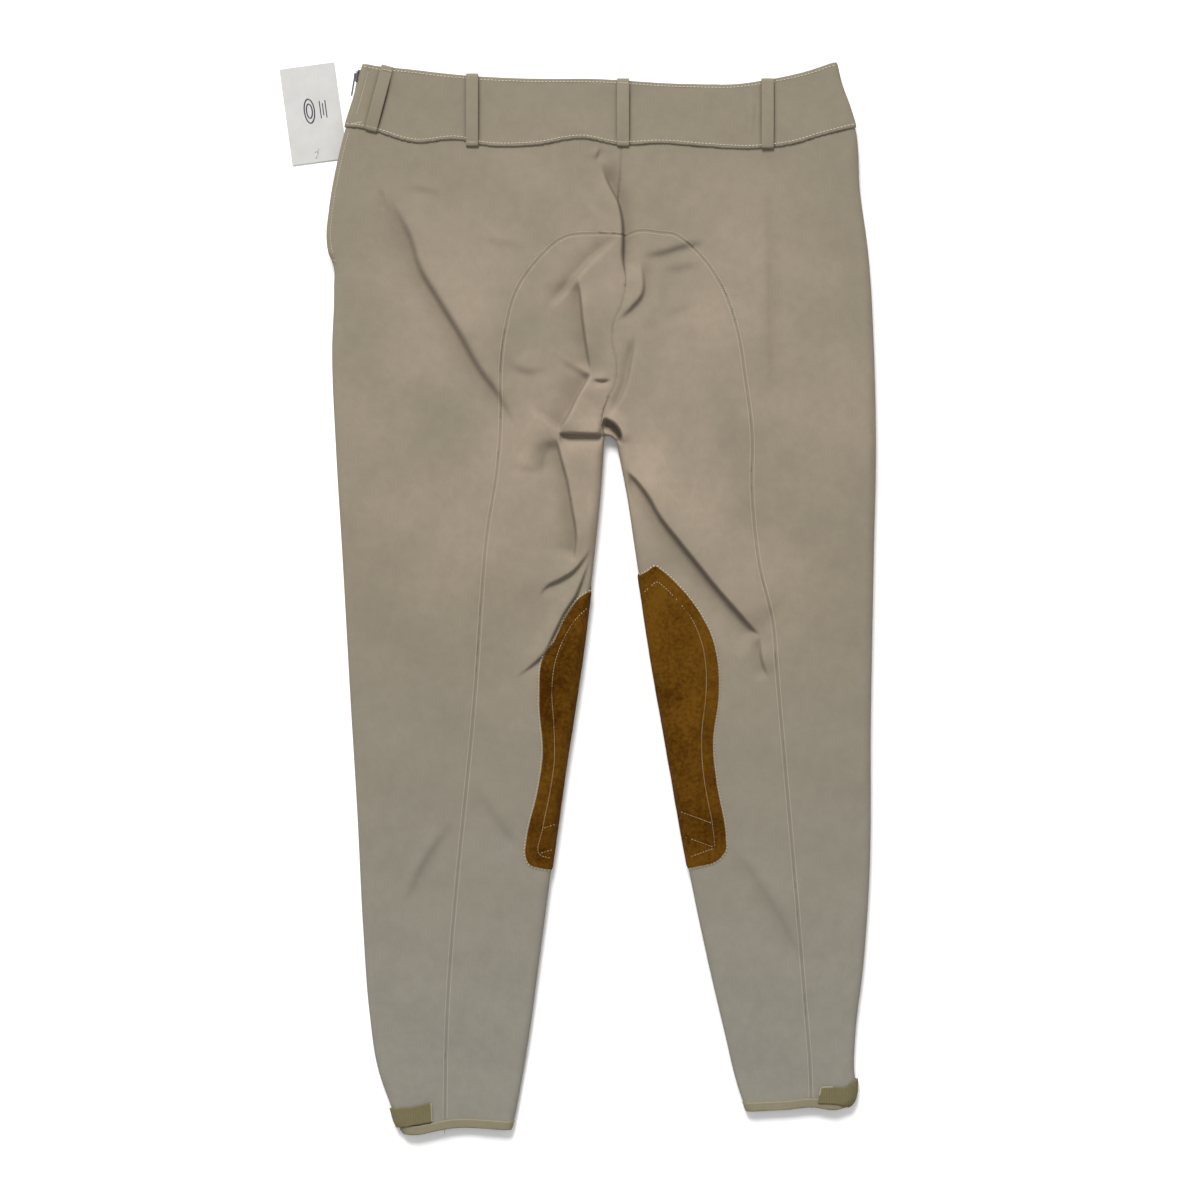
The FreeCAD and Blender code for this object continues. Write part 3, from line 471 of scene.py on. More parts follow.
def seam_relief(xy, lines):
    """The groove of a pressed-open seam, with the small puckers beside it."""
    rise = np.zeros(len(xy))
    for line in lines:
        gap, _, along, _ = nearest(xy, line)
        pucker = 0.7 + 0.3 * np.sin(along / 3.1) + 0.2 * np.sin(along / 1.7 + 1)
        rise += 0.14 * pucker * np.exp(-(((gap - 2.2) / 1.5) ** 2)) - 0.3 * np.exp(-((gap / SEAM_WIDTH) ** 2))
    return rise


def panel(ring, over):
    """A cloth panel, closed, on the upper or lower side."""
    xy, faces = fill(ring, PANEL_SPACING if over else UNDER_SPACING, FOLDS if over else ())
    outer, facing = surface(xy, over)
    seams = SEAMS if over else [FRONT_SEAM]
    outer[:, 2] += seam_relief(xy, seams) * (1 if over else -0.4) * soft_step(from_edge(xy)[0] / 3)
    return solid_sheet(xy, faces, outer, outer - CLOTH * facing, over)


def paint_shade_in(piece, amount):
    """Paint shade into a piece: for each corner, how far its colour is darkened where shadow would fall in
    creases, seams or beside a loop.
    """
    piece.data.attributes.new("crease", "FLOAT", "POINT").data.foreach_set("value", amount)


def panels(cloth):
    left, inner, right = EDGES
    waist = smooth([(x, y + 5) for x, y in BAND_BASE])
    centre, left_seat, right_seat = SEAMS
    waist_left, waist_right = stretch(left, (-210, 434), left[-1]), stretch(right, right[0], (252, 434))
    left_hem, right_hem = smooth(LEFT_HEM), smooth(RIGHT_HEM)
    middle = waist[np.argmin(abs(waist[:, 0] - 41))]
    front_middle = waist[np.argmin(abs(waist[:, 0] - FRONT_SEAM[0, 0]))]
    backs = {
        "left_back_panel": (0.27, 0.93, waist_left, stretch(left_hem, left_hem[0], left_seat[-1]),
                            left_seat[::-1], stretch(centre, SEAT_TOP, middle),
                            stretch(waist, middle, waist[0])),
        "left_seat_panel": (0.2, 0.83, left_seat, stretch(left_hem, left_seat[-1], left_hem[-1]),
                            stretch(inner, inner[0], CROTCH), stretch(centre, CROTCH, SEAT_TOP)),
        "right_seat_panel": (0.2, 0.81, stretch(centre, SEAT_TOP, CROTCH), stretch(inner, CROTCH, inner[-1]),
                             stretch(right_hem, right_hem[0], right_seat[-1]), right_seat[::-1]),
        "right_back_panel": (0.24, 0.92, stretch(centre, middle, SEAT_TOP), right_seat,
                             stretch(right_hem, right_seat[-1], right_hem[-1]), waist_right,
                             stretch(waist, waist[-1], middle)),
    }
    fronts = {
        "left_front_panel": (0.27, 0.93, waist_left, left_hem, stretch(inner, inner[0], CROTCH),
                             stretch(FRONT_SEAM, CROTCH, front_middle),
                             stretch(waist, front_middle, waist[0])),
        "right_front_panel": (0.26, 0.91, stretch(FRONT_SEAM, front_middle, CROTCH),
                              stretch(inner, CROTCH, inner[-1]), right_hem, waist_right,
                              stretch(waist, waist[-1], front_middle)),
    }
    for over, group in ((True, backs), (False, fronts)):
        for node, (width, length, *lines) in group.items():
            ring = ring_of(*lines)
            shell = panel(ring, over)
            piece = make(node + "_cloth", [shell], cloth, [node])
            if over:
                xy = shell[0][:, :2]
                # painted shade: darker colour in the folds' hollows and a thin dark line along each seam
                # groove, where shadow would fall
                crease = strokes(xy, FOLDS)[1]
                for line in SEAMS:
                    crease += SEAM_SHADE * np.exp(-(nearest(xy, line)[0] / SEAM_WIDTH) ** 2)
                paint_shade_in(piece, crease)


# ---- materials

def material(name, colour, rough, sheen=0.0, metal=0.0, shine=0.5):
    made = bpy.data.materials.new(name)
    made.use_nodes = True
    sockets = made.node_tree.nodes["Principled BSDF"].inputs
    for key, value in (("Base Color", (*colour, 1)), ("Roughness", rough), ("Metallic", metal),
                       ("Sheen Weight", sheen), ("Specular IOR Level", shine)):
        sockets[key].default_value = value
    return made


def add_node(made, kind, inputs=None, **settings):
    """A shader node; inputs maps a socket's name or number to a value or another node's output."""
    node = made.node_tree.nodes.new(kind)
    for key, value in settings.items():
        setattr(node, key, value)
    for key, value in (inputs or {}).items():
        if isinstance(value, bpy.types.NodeSocket):
            made.node_tree.links.new(value, node.inputs[key])
        else:
            node.inputs[key].default_value = value
    return node


def sum_of(made, a, b, operation="ADD"):
    return add_node(made, "ShaderNodeMath", {0: a, 1: b}, operation=operation).outputs[0]


def times(made, a, b):
    return sum_of(made, a, b, "MULTIPLY")


def noise(made, where, scale, detail=2.0):
    settings = {"Vector": where, "Scale": scale, "Detail": detail}
    return add_node(made, "ShaderNodeTexNoise", settings).outputs["Fac"]


def mixed(made, share, a, b):
    """Colour a, moved a share of the way to colour b."""
    a, b = (c if isinstance(c, bpy.types.NodeSocket) else (*c, 1) for c in (a, b))
    return add_node(made, "ShaderNodeMix", {0: share, 6: a, 7: b}, data_type="RGBA").outputs[2]


def ramp(made, value, low, high, to_low=0.0, to_high=1.0):
    return add_node(made, "ShaderNodeMapRange", {0: value, 1: low, 2: high, 3: to_low, 4: to_high}).outputs[0]


def tinted(made, base, tone, value, low, high, most):
    """The base colour moved towards a tone: not where a value is low, and by most where it is high."""
    return mixed(made, ramp(made, value, low, high, 0.0, most), base, tone)


def finish_material(made, colour, height, strength, distance):
    bump = add_node(made, "ShaderNodeBump", {"Height": height, "Strength": strength, "Distance": distance})
    sockets = made.node_tree.nodes["Principled BSDF"].inputs
    made.node_tree.links.new(bump.outputs[0], sockets["Normal"])
    made.node_tree.links.new(colour, sockets["Base Color"])
    return made


def object_axes(made):
    where = add_node(made, "ShaderNodeTexCoord").outputs["Object"]
    return where, add_node(made, "ShaderNodeSeparateXYZ", {0: where}).outputs


def ridges(made, along, pitch):
    """Rounded ridges across a coordinate, from 0 to 1."""
    turns = times(made, along, math.tau / pitch)
    wave = add_node(made, "ShaderNodeMath", {0: turns}, operation="SINE").outputs[0]
    return ramp(made, wave, -1.0, 1.0)


def darker(colour, share):
    return tuple(c * share for c in colour)


SEAT_MIDDLE = (0.03, 0.16, 0.01)
# colour of the painted shade in creases, seam grooves and beside the belt loops
PAINTED_SHADE = (0.075, 0.060, 0.043)
FIBRE_TONE = (0.46, 0.40, 0.32)


def twill(name, base_tone, warm, cool, pitch=0.00062):
    """Stretch twill: steep diagonal ribs, broken by the yarns across them, with slubs and clouds.
    It is warmer round the seat, where it is worn, and cooler at the shins."""
    made = material(name, base_tone, 0.9, sheen=0.03, shine=0.12)
    where, (x, y, z) = object_axes(made)
    diagonal = sum_of(made, sum_of(made, x, z), times(made, y, 0.45))
    rib = ridges(made, diagonal, pitch)
    yarn = ridges(made, y, pitch * 0.8)
    squeezed = add_node(made, "ShaderNodeMapping", {"Vector": where, "Scale": (1.0, 0.22, 1.0)}).outputs[0]
    slub = noise(made, squeezed, 700.0)
    fibre = noise(made, where, 2600.0)
    clouds = noise(made, where, 9.0, 3.0)
    mottle = noise(made, where, 110.0, 5.0)
    seat = add_node(made, "ShaderNodeVectorMath", {0: where, 1: SEAT_MIDDLE}, operation="DISTANCE")
    far = seat.outputs["Value"]
    worn = times(made, ramp(made, far, 0.06, 0.34, 1.0, 0.0), ramp(made, clouds, 0.32, 0.6))
    # painted shade: the crease attribute darkens the cloth where shadow would fall in folds, seams and beside
    # the belt loops
    crease = add_node(made, "ShaderNodeAttribute", attribute_name="crease").outputs["Fac"]
    base = mixed(made, worn, base_tone, warm)
    for tone, value, low, high, most in ((cool, y, 0.0, -0.42, 0.85),
                                         (darker(cool, 0.45), rib, 1.0, 0.0, 0.14),
                                         (darker(warm, 0.6), slub, 0.3, 0.7, 0.16),
                                         (darker(base_tone, 0.62), mottle, 0.35, 0.65, 0.14),
                                         (FIBRE_TONE, fibre, 0.35, 0.7, 0.10),
                                         (PAINTED_SHADE, crease, 0.0, 1.3, 0.62)):
        base = tinted(made, base, tone, value, low, high, most)
    relief = sum_of(made, sum_of(made, rib, times(made, yarn, 0.35)), times(made, slub, 0.9))
    return finish_material(made, base, relief, 0.35, 0.00012)


def suede(name, dark, light):
    """Napped suede: lighter where the nap is brushed up, darker between."""
    made = material(name, dark, 0.97, sheen=0.01, shine=0.03)
    where, _ = object_axes(made)
    brushed = noise(made, where, 22.0, 4.0)
    nap = noise(made, where, 320.0, 3.0)
    fibre = noise(made, where, 2100.0)
    tone = sum_of(made, times(made, brushed, 0.6), times(made, nap, 0.4))
    base = mixed(made, ramp(made, tone, 0.38, 0.62), darker(dark, 0.75), light)
    base = tinted(made, base, darker(dark, 0.5), fibre, 0.3, 0.7, 0.3)
    relief = sum_of(made, times(made, nap, 0.8), fibre)
    return finish_material(made, base, relief, 0.5, 0.0003)


def woven(name, light, dark, pitch, direction=0, strength=0.5):
    """Woven tape, ribbed across one direction, with a finer yarn the other way."""
    made = material(name, light, 0.9, sheen=0.03, shine=0.15)
    where, axes = object_axes(made)
    rib = ridges(made, axes[direction], pitch)
    yarn = ridges(made, axes[1 - direction], pitch * 0.6)
    wear = noise(made, where, 120.0, 3.0)
    grain = noise(made, where, 1500.0)
    tone = sum_of(made, times(made, rib, 0.55), times(made, wear, 0.45))
    base = mixed(made, tone, dark, light)
    base = tinted(made, base, darker(dark, 0.5), grain, 0.3, 0.75, 0.25)
    relief = sum_of(made, rib, times(made, yarn, 0.5))
    return finish_material(made, base, relief, strength, 0.0002)


def plain(name, colour, rough, metal=0.0, grain=900.0, strength=0.15):
    """Metal, card, plastic or thread: one colour with a fine grain and faint stains."""
    made = material(name, colour, rough, metal=metal)
    where, _ = object_axes(made)
    stain, fine = noise(made, where, 60.0, 3.0), noise(made, where, grain)
    base = tinted(made, colour, darker(colour, 0.72), stain, 0.3, 0.75, 0.35)
    return finish_material(made, base, fine, strength, 0.0001)


# ---- sheets laid on the garment

THIN_EDGE = 0.05


def trim(ring, free, thickness, over=True, low=0.05, spacing=2.4, bevel=0.7, relief=None):
    """A closed sheet that lies on the garment, low above its cloth. Its free edges are rounded."""
    xy, faces = fill(ring, spacing, rim=(0.22, 0.6))
    at, facing = surface(xy, over)
    near = np.full(len(xy), FAR)
    for line in free:
        near = np.minimum(near, nearest(xy, line)[0])
    share = np.sqrt(1 - (1 - np.clip(near / bevel, 0, 1)) ** 2)
    lift = low + THIN_EDGE + (thickness - THIN_EDGE) * share
    if relief:
        lift += relief(xy) * share
    return solid_sheet(xy, faces, at + facing * lift[:, None], at + facing * low, over)


def strap(path, side, width, thickness):
    """A flat strip with rounded edges that follows a path; side points across it."""
    path, side = np.array(path, float), np.array(side, float)
    normal = unit(np.cross(side, np.gradient(path, axis=0)))
    half, radius = width / 2 - thickness / 2, thickness / 2
    turn = np.linspace(-math.pi / 2, math.pi / 2, 6)
    right = np.column_stack([half + radius * np.cos(turn), radius * np.sin(turn)])
    top = np.array([(half * f, radius + 0.12 * (1 - f * f)) for f in (0.75, 0.35, -0.35, -0.75)])
    section = np.concatenate([right, top, -right, top[::-1] * [1, -1]])
    count = len(section)
    rings = (path[:, None] + section[None, :, :1] * side + section[None, :, 1:] * normal[:, None])
    return tube_mesh(rings.reshape(-1, 3), count)


def tube_mesh(points, count):
    """A closed tube from rings of count points that follow each other."""
    rings = len(points) // count
    i, j = np.meshgrid(np.arange(rings - 1), np.arange(count), indexing="ij")
    a, b = (i * count + j).ravel(), (i * count + (j + 1) % count).ravel()
    walls = np.concatenate([np.column_stack([a, b, b + count]), np.column_stack([a, b + count, a + count])])
    fan = np.array([(0, k + 1, k) for k in range(1, count - 1)])
    end = fan[:, ::-1] + (rings - 1) * count
    return points, np.concatenate([walls, fan, end])


SLANT = np.array([0.31, 0.17, 0.93])     # a direction that no wire here runs in


def round_tube(path, radius, sides=8, flatten=1.0):
    """A round wire along a path in space."""
    path = np.array(path, float)
    ahead = unit(np.gradient(path, axis=0))
    one = unit(np.cross(ahead, SLANT))
    two = np.cross(ahead, one)
    turn = np.linspace(0, math.tau, sides, endpoint=False)
    rings = (path[:, None] + radius * (np.cos(turn)[None, :, None] * one[:, None]
                                       + flatten * np.sin(turn)[None, :, None] * two[:, None]))
    return tube_mesh(rings.reshape(-1, 3), sides)


# share of the way along a stitch, share of its thickness, height of its middle
STITCH_RINGS = ((0.0, 0.35, -0.25), (0.12, 0.85, 0.02), (0.5, 1.0, 0.12), (0.88, 0.85, 0.02),
                (1.0, 0.35, -0.25))
THREAD_SIDES = 6


def stitches(line, over=True, lift=0.0, length=2.3, pitch=3.1, width=0.5, zigzag=0.0):
    """Threads along a line on the garment: separate stitches, or a zigzag of that half width."""
    at = np.concatenate([[0], np.cumsum(np.hypot(*np.diff(line, axis=0).T))])
    starts = np.arange(pitch / 2, at[-1] - length, pitch)
    ahead = np.gradient(line, at, axis=0)
    ends = []
    for s, sign in ((starts, 1), (starts + length, -1)):
        p = np.column_stack([np.interp(s, at, line[:, k]) for k in (0, 1)])
        d = np.column_stack([np.interp(s, at, ahead[:, k]) for k in (0, 1)])
        way = sign * np.where(np.arange(len(s)) % 2, -1, 1) * zigzag
        ends.append(p + way[:, None] * left_of(d))
    (a, facing), (b, _) = (surface(p, over) for p in ends)
    across = np.cross(unit(b - a), facing)
    turn = np.arange(THREAD_SIDES) * math.tau / THREAD_SIDES
    rings = []
    for share, thick, rise in STITCH_RINGS:
        middle = a + (b - a) * share + facing * (lift + rise)
        circle = thick * width / 2 * (np.cos(turn)[None, :, None] * across[:, None]
                                      + 0.8 * np.sin(turn)[None, :, None] * facing[:, None])
        rings.append(middle[:, None] + circle)
    points = np.stack(rings, axis=1).reshape(len(a), -1, 3)
    _, faces = tube_mesh(points[0], THREAD_SIDES)
    every = (faces[None] + (np.arange(len(a)) * len(points[0]))[:, None, None]).reshape(-1, 3)
    return points.reshape(-1, 3), every


def shifted(line, amount):
    return beside(line, (amount,))


# ---- waistband and belt loops

BAND, FRONT_BAND, FACING = 1.7, 1.2, 0.8
BAND_STITCH_INSET = 3.0
# middle of the foot, length and lean in degrees
BACK_LOOPS = {"belt_loop_side_left": ((-188.2, 425.5), 60, -14.8),
              "belt_loop_back_left": ((-95.6, 411.5), 65, 0),
              "belt_loop_back_centre": ((41.9, 411.5), 60.5, 0),
              "belt_loop_back_right": ((173.6, 409.5), 62.5, 0)}
FRONT_LOOPS = {"belt_loop_front_left": ((-85, 413), 63, 0), "belt_loop_front_right": ((125, 411), 58.5, 0)}
LOOP_WIDTH = 11.3
LOOP_STRIP, FLAT_LOOP_STRIP = 1.3, 0.8
# share of the way up the loop, millimetres past it, height above the cloth
LOOP_LINE = [(0, 2.0, 0.5), (0, 0.3, 0.7), (0, 0.0, 1.5), (0, 1.2, 2.3), (0, 4, 2.7), (0.15, 0, 3.3),
             (0.35, 0, 4.1), (0.6, 0, 4.2), (0.85, 0, 3.5), (1, -3.5, 2.9), (1, -0.8, 2.5),
             (1, 0.5, 1.6), (1, 0.6, 0.2), (1, 0.1, -0.9), (1, -3, -1.5)]
FLAT_LOOP_LINE = [(0, 2.0, 1.6), (0, 3.5, 1.7), (0.5, 0, 1.75), (1, -1, 1.7), (1, 0.4, 1.1), (1, 0.4, 0),
                  (1, -2.5, -1.4)]


def loop_shade(xy):
    """How far each point is in the shade beside a belt loop, most on the loop's right."""
    shade = np.zeros(len(xy))
    for foot, length, lean in BACK_LOOPS.values():
        up = np.array([-math.sin(math.radians(lean)), math.cos(math.radians(lean))])
        _, s, _, _ = nearest(xy, np.array([foot, foot + length * up]))
        share = np.where(s < 0, 1.3, 0.8)
        shade += share * np.exp(-((abs(s) - LOOP_WIDTH / 2) / 1.8) ** 2)
    return shade


def waistband(cloth, lining, thread):
    base, top = smooth(BAND_BASE), smooth(BAND_TOP)
    left, _, right = EDGES
    left_end, right_end = stretch(left, top[0], base[0]), stretch(right, base[-1], top[-1])
    ring = ring_of(left_end, base, right_end, top[::-1])
    free = [base, top]

    def crease(xy):
        return strokes(xy, BAND_CREASES)[0] + 0.12 * waves(xy, 30, 6, 11)

    shell = trim(ring, free, BAND, relief=crease, spacing=1.7)
    back = make("back_waistband_cloth", [shell], cloth, ["back_waistband"])
    # painted shade on the band beside each belt loop, most on its right side
    paint_shade_in(back, loop_shade(shell[0][:, :2]))
    front = make("front_waistband_cloth", [trim(ring, free, FRONT_BAND, over=False)], cloth,
                 ["front_waistband"])
    inside = ring_of(shifted(left_end, 1.5), base + [0, 6.5], shifted(right_end, 1.5), (top - [0, 1.2])[::-1])
    facing = make("waistband_facing_cloth", [trim(inside, [], FACING, over, low=-0.95)
                                             for over in (True, False)], lining,
                  ["waistband_facing"])
    rows = []
    for over, lift in ((True, BAND), (False, FRONT_BAND)):
        for line, inset in ((base, BAND_STITCH_INSET), (top, -BAND_STITCH_INSET)):
            sewn = shifted(line, inset)
            rows.append(stitches(sewn, over, lift + 0.15, length=2.3, pitch=3.3, width=0.85))
    side_row = np.linspace((-190, 480), (-201, 441), 20)
    tack = np.linspace((-206, 431.5), (-196, 433.5), 8)
    rows.append(stitches(side_row, True, BAND, length=1.4, pitch=2.0))
    rows.append(stitches(tack, True, BAND, length=0.9, pitch=1.2, width=0.6, zigzag=0.7))
    make("waistband_stitches", rows, thread)


def belt_loops(cloth, thread):
    tacks = []
    for group, over, line in ((BACK_LOOPS, True, LOOP_LINE), (FRONT_LOOPS, False, FLAT_LOOP_LINE)):
        for node, (foot, length, lean) in group.items():
            a = math.radians(lean)
            up, side = np.array([-math.sin(a), math.cos(a)]), np.array([math.cos(a), math.sin(a), 0])
            s = np.array([share * length + past for share, past, _ in line])
            lift = np.array([height for _, _, height in line])
            xy = np.array(foot) + s[:, None] * up
            level = np.mean(surface(np.array(foot) + np.array([[0.3], [0.7]]) * length * up, over)[0][:, 2])
            path = spaced_curve(np.column_stack([xy, level + (lift if over else -lift)]))
            thickness = LOOP_STRIP if over else FLAT_LOOP_STRIP
            strip = strap(path, side if over else -side, LOOP_WIDTH, thickness)
            piece = make(node + "_cloth", [strip], cloth, [node])
            if over:
                for along, lift in ((3.2, 3.2), (length - 3.4, 3.3)):
                    middle = np.array(foot) + along * up
                    row = np.linspace(middle - side[:2] * 4.6, middle + side[:2] * 4.6, 12)
                    tacks.append(stitches(row, True, lift, length=0.8, pitch=1.1, zigzag=0.55))
    make("belt_loop_bartacks", tacks, thread)


def spaced_curve(path, step=1.0):
    """A smooth line through points in space, sampled evenly."""
    gap = np.linalg.norm(np.diff(path, axis=0), axis=1)
    at = np.concatenate([[0], np.cumsum(gap)])
    flat = [smooth(np.column_stack([at, path[:, k]]), step) for k in range(3)]
    even = np.linspace(0, at[-1], int(at[-1] / step) + 2)
    return np.column_stack([np.interp(even, f[:, 0], f[:, 1]) for f in flat])


# ---- suede knee patches

SUEDE = 1.25
OVERLOCK = {"lift": 0.8, "length": 1.5, "pitch": 1.55, "width": 0.55, "zigzag": 1.5}
LEFT_INSET = [(9, -9), (-2, -21), (-13.2, -39.8), (-19.3, -56.2), (-23, -82), (-21.2, -115.6),
              (-20.6, -147), (-24.8, -178), (-31.2, -210), (-34, -234.5), (-22, -238.5)]
RIGHT_INSET = [(61, 4), (66.5, 9.5), (73, 14.2), (80, 9), (89.4, -0.5), (104, -18.7), (113.7, -41.6),
               (117.8, -69), (116.9, -94.6), (113.7, -122), (114, -148.5), (117.8, -178),
               (123.3, -206), (125.6, -227)]
LEFT_DARTS = [((-31.2, -210.7), (-18.5, -206)), ((-34, -233.5), (-22.5, -229.9))]
RIGHT_DARTS = [((94, -195), (123.3, -206)), ((98, -218), (124.4, -227.6)), ((103, -236.5), (124.4, -229))]


def knee_patches(hide, thread):
    inner = EDGES[1]
    # the last number says on which side of its outline the patch is: 1 left, -1 right
    sides = {"left": (LEFT_PATCH, LEFT_INSET, LEFT_DARTS, 0.1, 1),
             "right": (RIGHT_PATCH, RIGHT_INSET, RIGHT_DARTS, 0.15, -1)}
    for side, (outline, inset, darts, width, inwards) in sides.items():
        edge = smooth(outline, 2.0)
        inseam = stretch(inner, edge[-1], edge[0])
        edge = np.concatenate([inseam[-1:], edge[1:-1], inseam[:1]])
        ring = ring_of(edge, inseam)
        sewn = [smooth(inset, 2.0)] + [np.linspace(*dart, 14) for dart in darts]

        def nap(xy, sewn=sewn):
            rise = 0.1 * waves(xy, 34, 6, 21) + 0.05 * waves(xy, 7, 8, 22)
            for line in sewn:
                rise -= 0.45 * np.exp(-((nearest(xy, line)[0] / 0.9) ** 2))
            return rise

        parts, rows = [], []
        for over in (True, False):
            parts.append(trim(ring, [edge], SUEDE, over, bevel=0.9, relief=nap, spacing=1.9))
            rows.append(stitches(shifted(edge, 0.2 * inwards), over, **OVERLOCK))
            rows += [stitches(line, over, SUEDE - 0.3, length=1.6, pitch=2.7, width=0.42) for line in sewn]
        piece = make(f"{side}_knee_patch_suede", parts, hide, [f"{side}_knee_patch"])
        make(f"{side}_knee_patch_stitches", rows, thread)


# ---- hems and ankle closings

HEM_HEIGHT = 8.8


def hem_tapes(tape, thread):
    left, inner, right = EDGES
    for side, hem, first, last in (("left", LEFT_HEM, left, inner), ("right", RIGHT_HEM, inner, right)):
        low = smooth(hem)
        high = low + [0, HEM_HEIGHT]
        ring = ring_of(low, stretch(last, low[-1], high[-1]), high[::-1], stretch(first, high[0], low[0]))
        parts = [trim(ring, [high, low], 0.85, over, spacing=1.8, bevel=0.5) for over in (True, False)]
        make(f"{side}_hem_tape_woven", parts, tape, [f"{side}_hem_tape"])
        rows = [stitches(high - [0, 1.1], over, 0.85, length=1.5, pitch=2.1, width=0.36)
                for over in (True, False)]
        make(f"{side}_hem_stitches", rows, thread)


LEFT_TAB = [(-169.6, -466.6), (-160, -466), (-151.9, -465.7), (-143, -463.6), (-133.6, -461.1),
            (-133, -470), (-132.7, -479.2), (-148, -481.8), (-163, -485)]
RIGHT_TAB = [(248, -464.6), (236, -462.6), (219.7, -462.2), (221.2, -455), (223, -447.2), (233.5, -446.8),
             (243.8, -447.2), (249.5, -443.6), (253.6, -439.6)]
LOOP_TAPE, HOOK_TAPE, STRIP = 0.55, 0.5, 1.0
HOOK_LOW = 0.1 + LOOP_TAPE                              # underside of the hook tape above the cloth
STRIP_LOW = 0.05 + LOOP_TAPE + HOOK_TAPE + 0.15         # underside of the strip above the cloth
RIB = 1.55
ROOT_LENGTH = 11


def inset_ring(points, amount):
    """An outline drawn in towards its middle."""
    points = np.array(points, float)
    middle = points.mean(0)
    reach = np.hypot(*(points - middle).T).min()
    return middle + (points - middle) * (1 - amount / reach)


def ribs(xy):
    """Ribs across the strip, with a slightly uneven beat."""
    x, y = xy.T
    beat = x + 0.1 * y + 0.25 * waves(xy, 12, 4, 31)
    return 0.28 * np.abs(np.cos(math.pi * beat / RIB)) + 0.06 * waves(xy, 5, 6, 32)


def inwards_from(edge):
    """The middle of a strip's root, and the direction across the root towards the strip's end."""
    root = edge[0] - edge[-1]
    middle = (edge[0] + edge[-1]) / 2
    inward = edge[3:6].mean(0) - middle
    inward -= root * (inward @ root) / (root @ root)
    return middle, inward / np.hypot(*inward)


def ankle_closings(strip, loop_tape, hook_tape, thread):
    left, _, right = EDGES
    # the last number is the first of the three outline points that the zigzag follows
    for side, outline, leg_edge, end in (("left", LEFT_TAB, left, 4), ("right", RIGHT_TAB, right, 3)):
        edge = np.array(outline, float)
        hinge = stretch(leg_edge, edge[-1], edge[0])
        for kind, drawn_in, thickness, low, finish, body in (
                ("loop", 4.5, LOOP_TAPE, 0.05, loop_tape, "breeches"),
                ("hook", 3.0, HOOK_TAPE, HOOK_LOW, hook_tape, f"{side}_tab")):
            ring = ring_of(inset_ring(edge, drawn_in), shrink=0)
            node = f"{side}_ankle_{kind}_tape"
            make(f"{node}_pile", [trim(ring, [], thickness, low=low, spacing=1.4)], finish, [node],
                 body)
        ring = ring_of(hinge, edge[1:-1], shrink=0)
        shell = trim(ring, [edge], STRIP, low=STRIP_LOW, spacing=0.75, bevel=0.5, relief=ribs)
        tab = make(f"{side}_ankle_tab_strip", [shell], strip, [f"{side}_ankle_tab"],
                   body=None)
        row = stitches(spaced_line(edge[end:end + 3], 0.6), True, STRIP_LOW + STRIP,
                       length=1.0, pitch=1.0, width=0.4, zigzag=0.8)
        sewn = make(f"{side}_ankle_tab_stitches", [row], thread, body=None)
        middle, inward = inwards_from(edge)
        for piece in (tab, sewn):
            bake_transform(piece)
        ring = ring_of(hinge, edge[:1] + inward * ROOT_LENGTH, edge[-1:] + inward * ROOT_LENGTH, shrink=0)
        root = make(f"{side}_ankle_tab_root", [trim(ring, [], STRIP, over=False, spacing=1.2)], strip)


def spaced_line(points, step):
    """Straight runs between points, sampled about every step."""
    return np.concatenate([np.linspace(a, b, int(np.hypot(*(b - a)) / step) + 2)[:-1]
                           for a, b in zip(points[:-1], points[1:])] + [points[-1:]])


# ---- side zip

ZIP_TOP = np.array([-199.0, 482.0, 8.9])
ZIP_FOOT_POINT = np.array([-226.0, 320.0, 8.9])
ZIP_LENGTH = np.linalg.norm(ZIP_FOOT_POINT - ZIP_TOP)
ZIP_DOWN = (ZIP_FOOT_POINT - ZIP_TOP) / ZIP_LENGTH
ZIP_INWARD = np.array([-ZIP_DOWN[1], ZIP_DOWN[0], 0.0])
COIL_PITCH, COIL_WIDTH, COIL_HEIGHT, COIL_WIRE = 1.3, 0.85, 0.5, 0.2
COIL_APART = 1.38       # half the gap between the two rows of coils
ZIP_TAPE = 0.45


def zip_line(share):
    return ZIP_TOP + (ZIP_FOOT_POINT - ZIP_TOP) * np.asarray(share, float)[..., None]


def side_zip(tape, nylon, metal, lining):
    path = zip_line(np.linspace(0.0, 1.0, 90))
    turns = ZIP_LENGTH / COIL_PITCH
    t = np.linspace(0, 1, int(turns * 10))
    angle = t * turns * math.tau
    for name, way in (("back", 1), ("front", -1)):
        coil = (zip_line(t) + np.outer(COIL_WIDTH * np.cos(angle), ZIP_INWARD)
                + np.outer(way * COIL_APART + COIL_HEIGHT * np.sin(angle), (0, 0, 1)))
        spiral = round_tube(coil, COIL_WIRE, 6)
        make(f"zip_coil_{name}_spiral", [spiral], nylon, [f"zip_coil_{name}"])
        web = strap(path + 1.35 * ZIP_INWARD + (0, 0, way * 3.1), (0, 0, way), 3.8, ZIP_TAPE)
        flange = strap(path + 6.2 * ZIP_INWARD + (0, 0, way * 4.75), ZIP_INWARD, 9.6, ZIP_TAPE)
        woven_tape = make(f"zip_tape_{name}_woven", [web, flange], tape, [f"zip_tape_{name}"])
    guard = strap(zip_line(np.linspace(0.01, 1, 60)) + 3.5 * ZIP_INWARD, (0, 0, 1), 7.0, 0.8)
    make("zip_guard_cloth", [guard], lining, ["zip_guard"])
    for node in ("zip_top_stops", "zip_bottom_stop", "waist_hook", "waist_bar", "zip_slider", "zip_pull"):
        paint(node, metal)


def paint(node, finish):
    """A CAD part that is shown as it is, with a finish of its own."""
    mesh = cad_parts[node].data
    mesh.materials.clear()
    mesh.materials.append(finish)


# ---- swing tag and care label

TAG_LEAN = 7.75
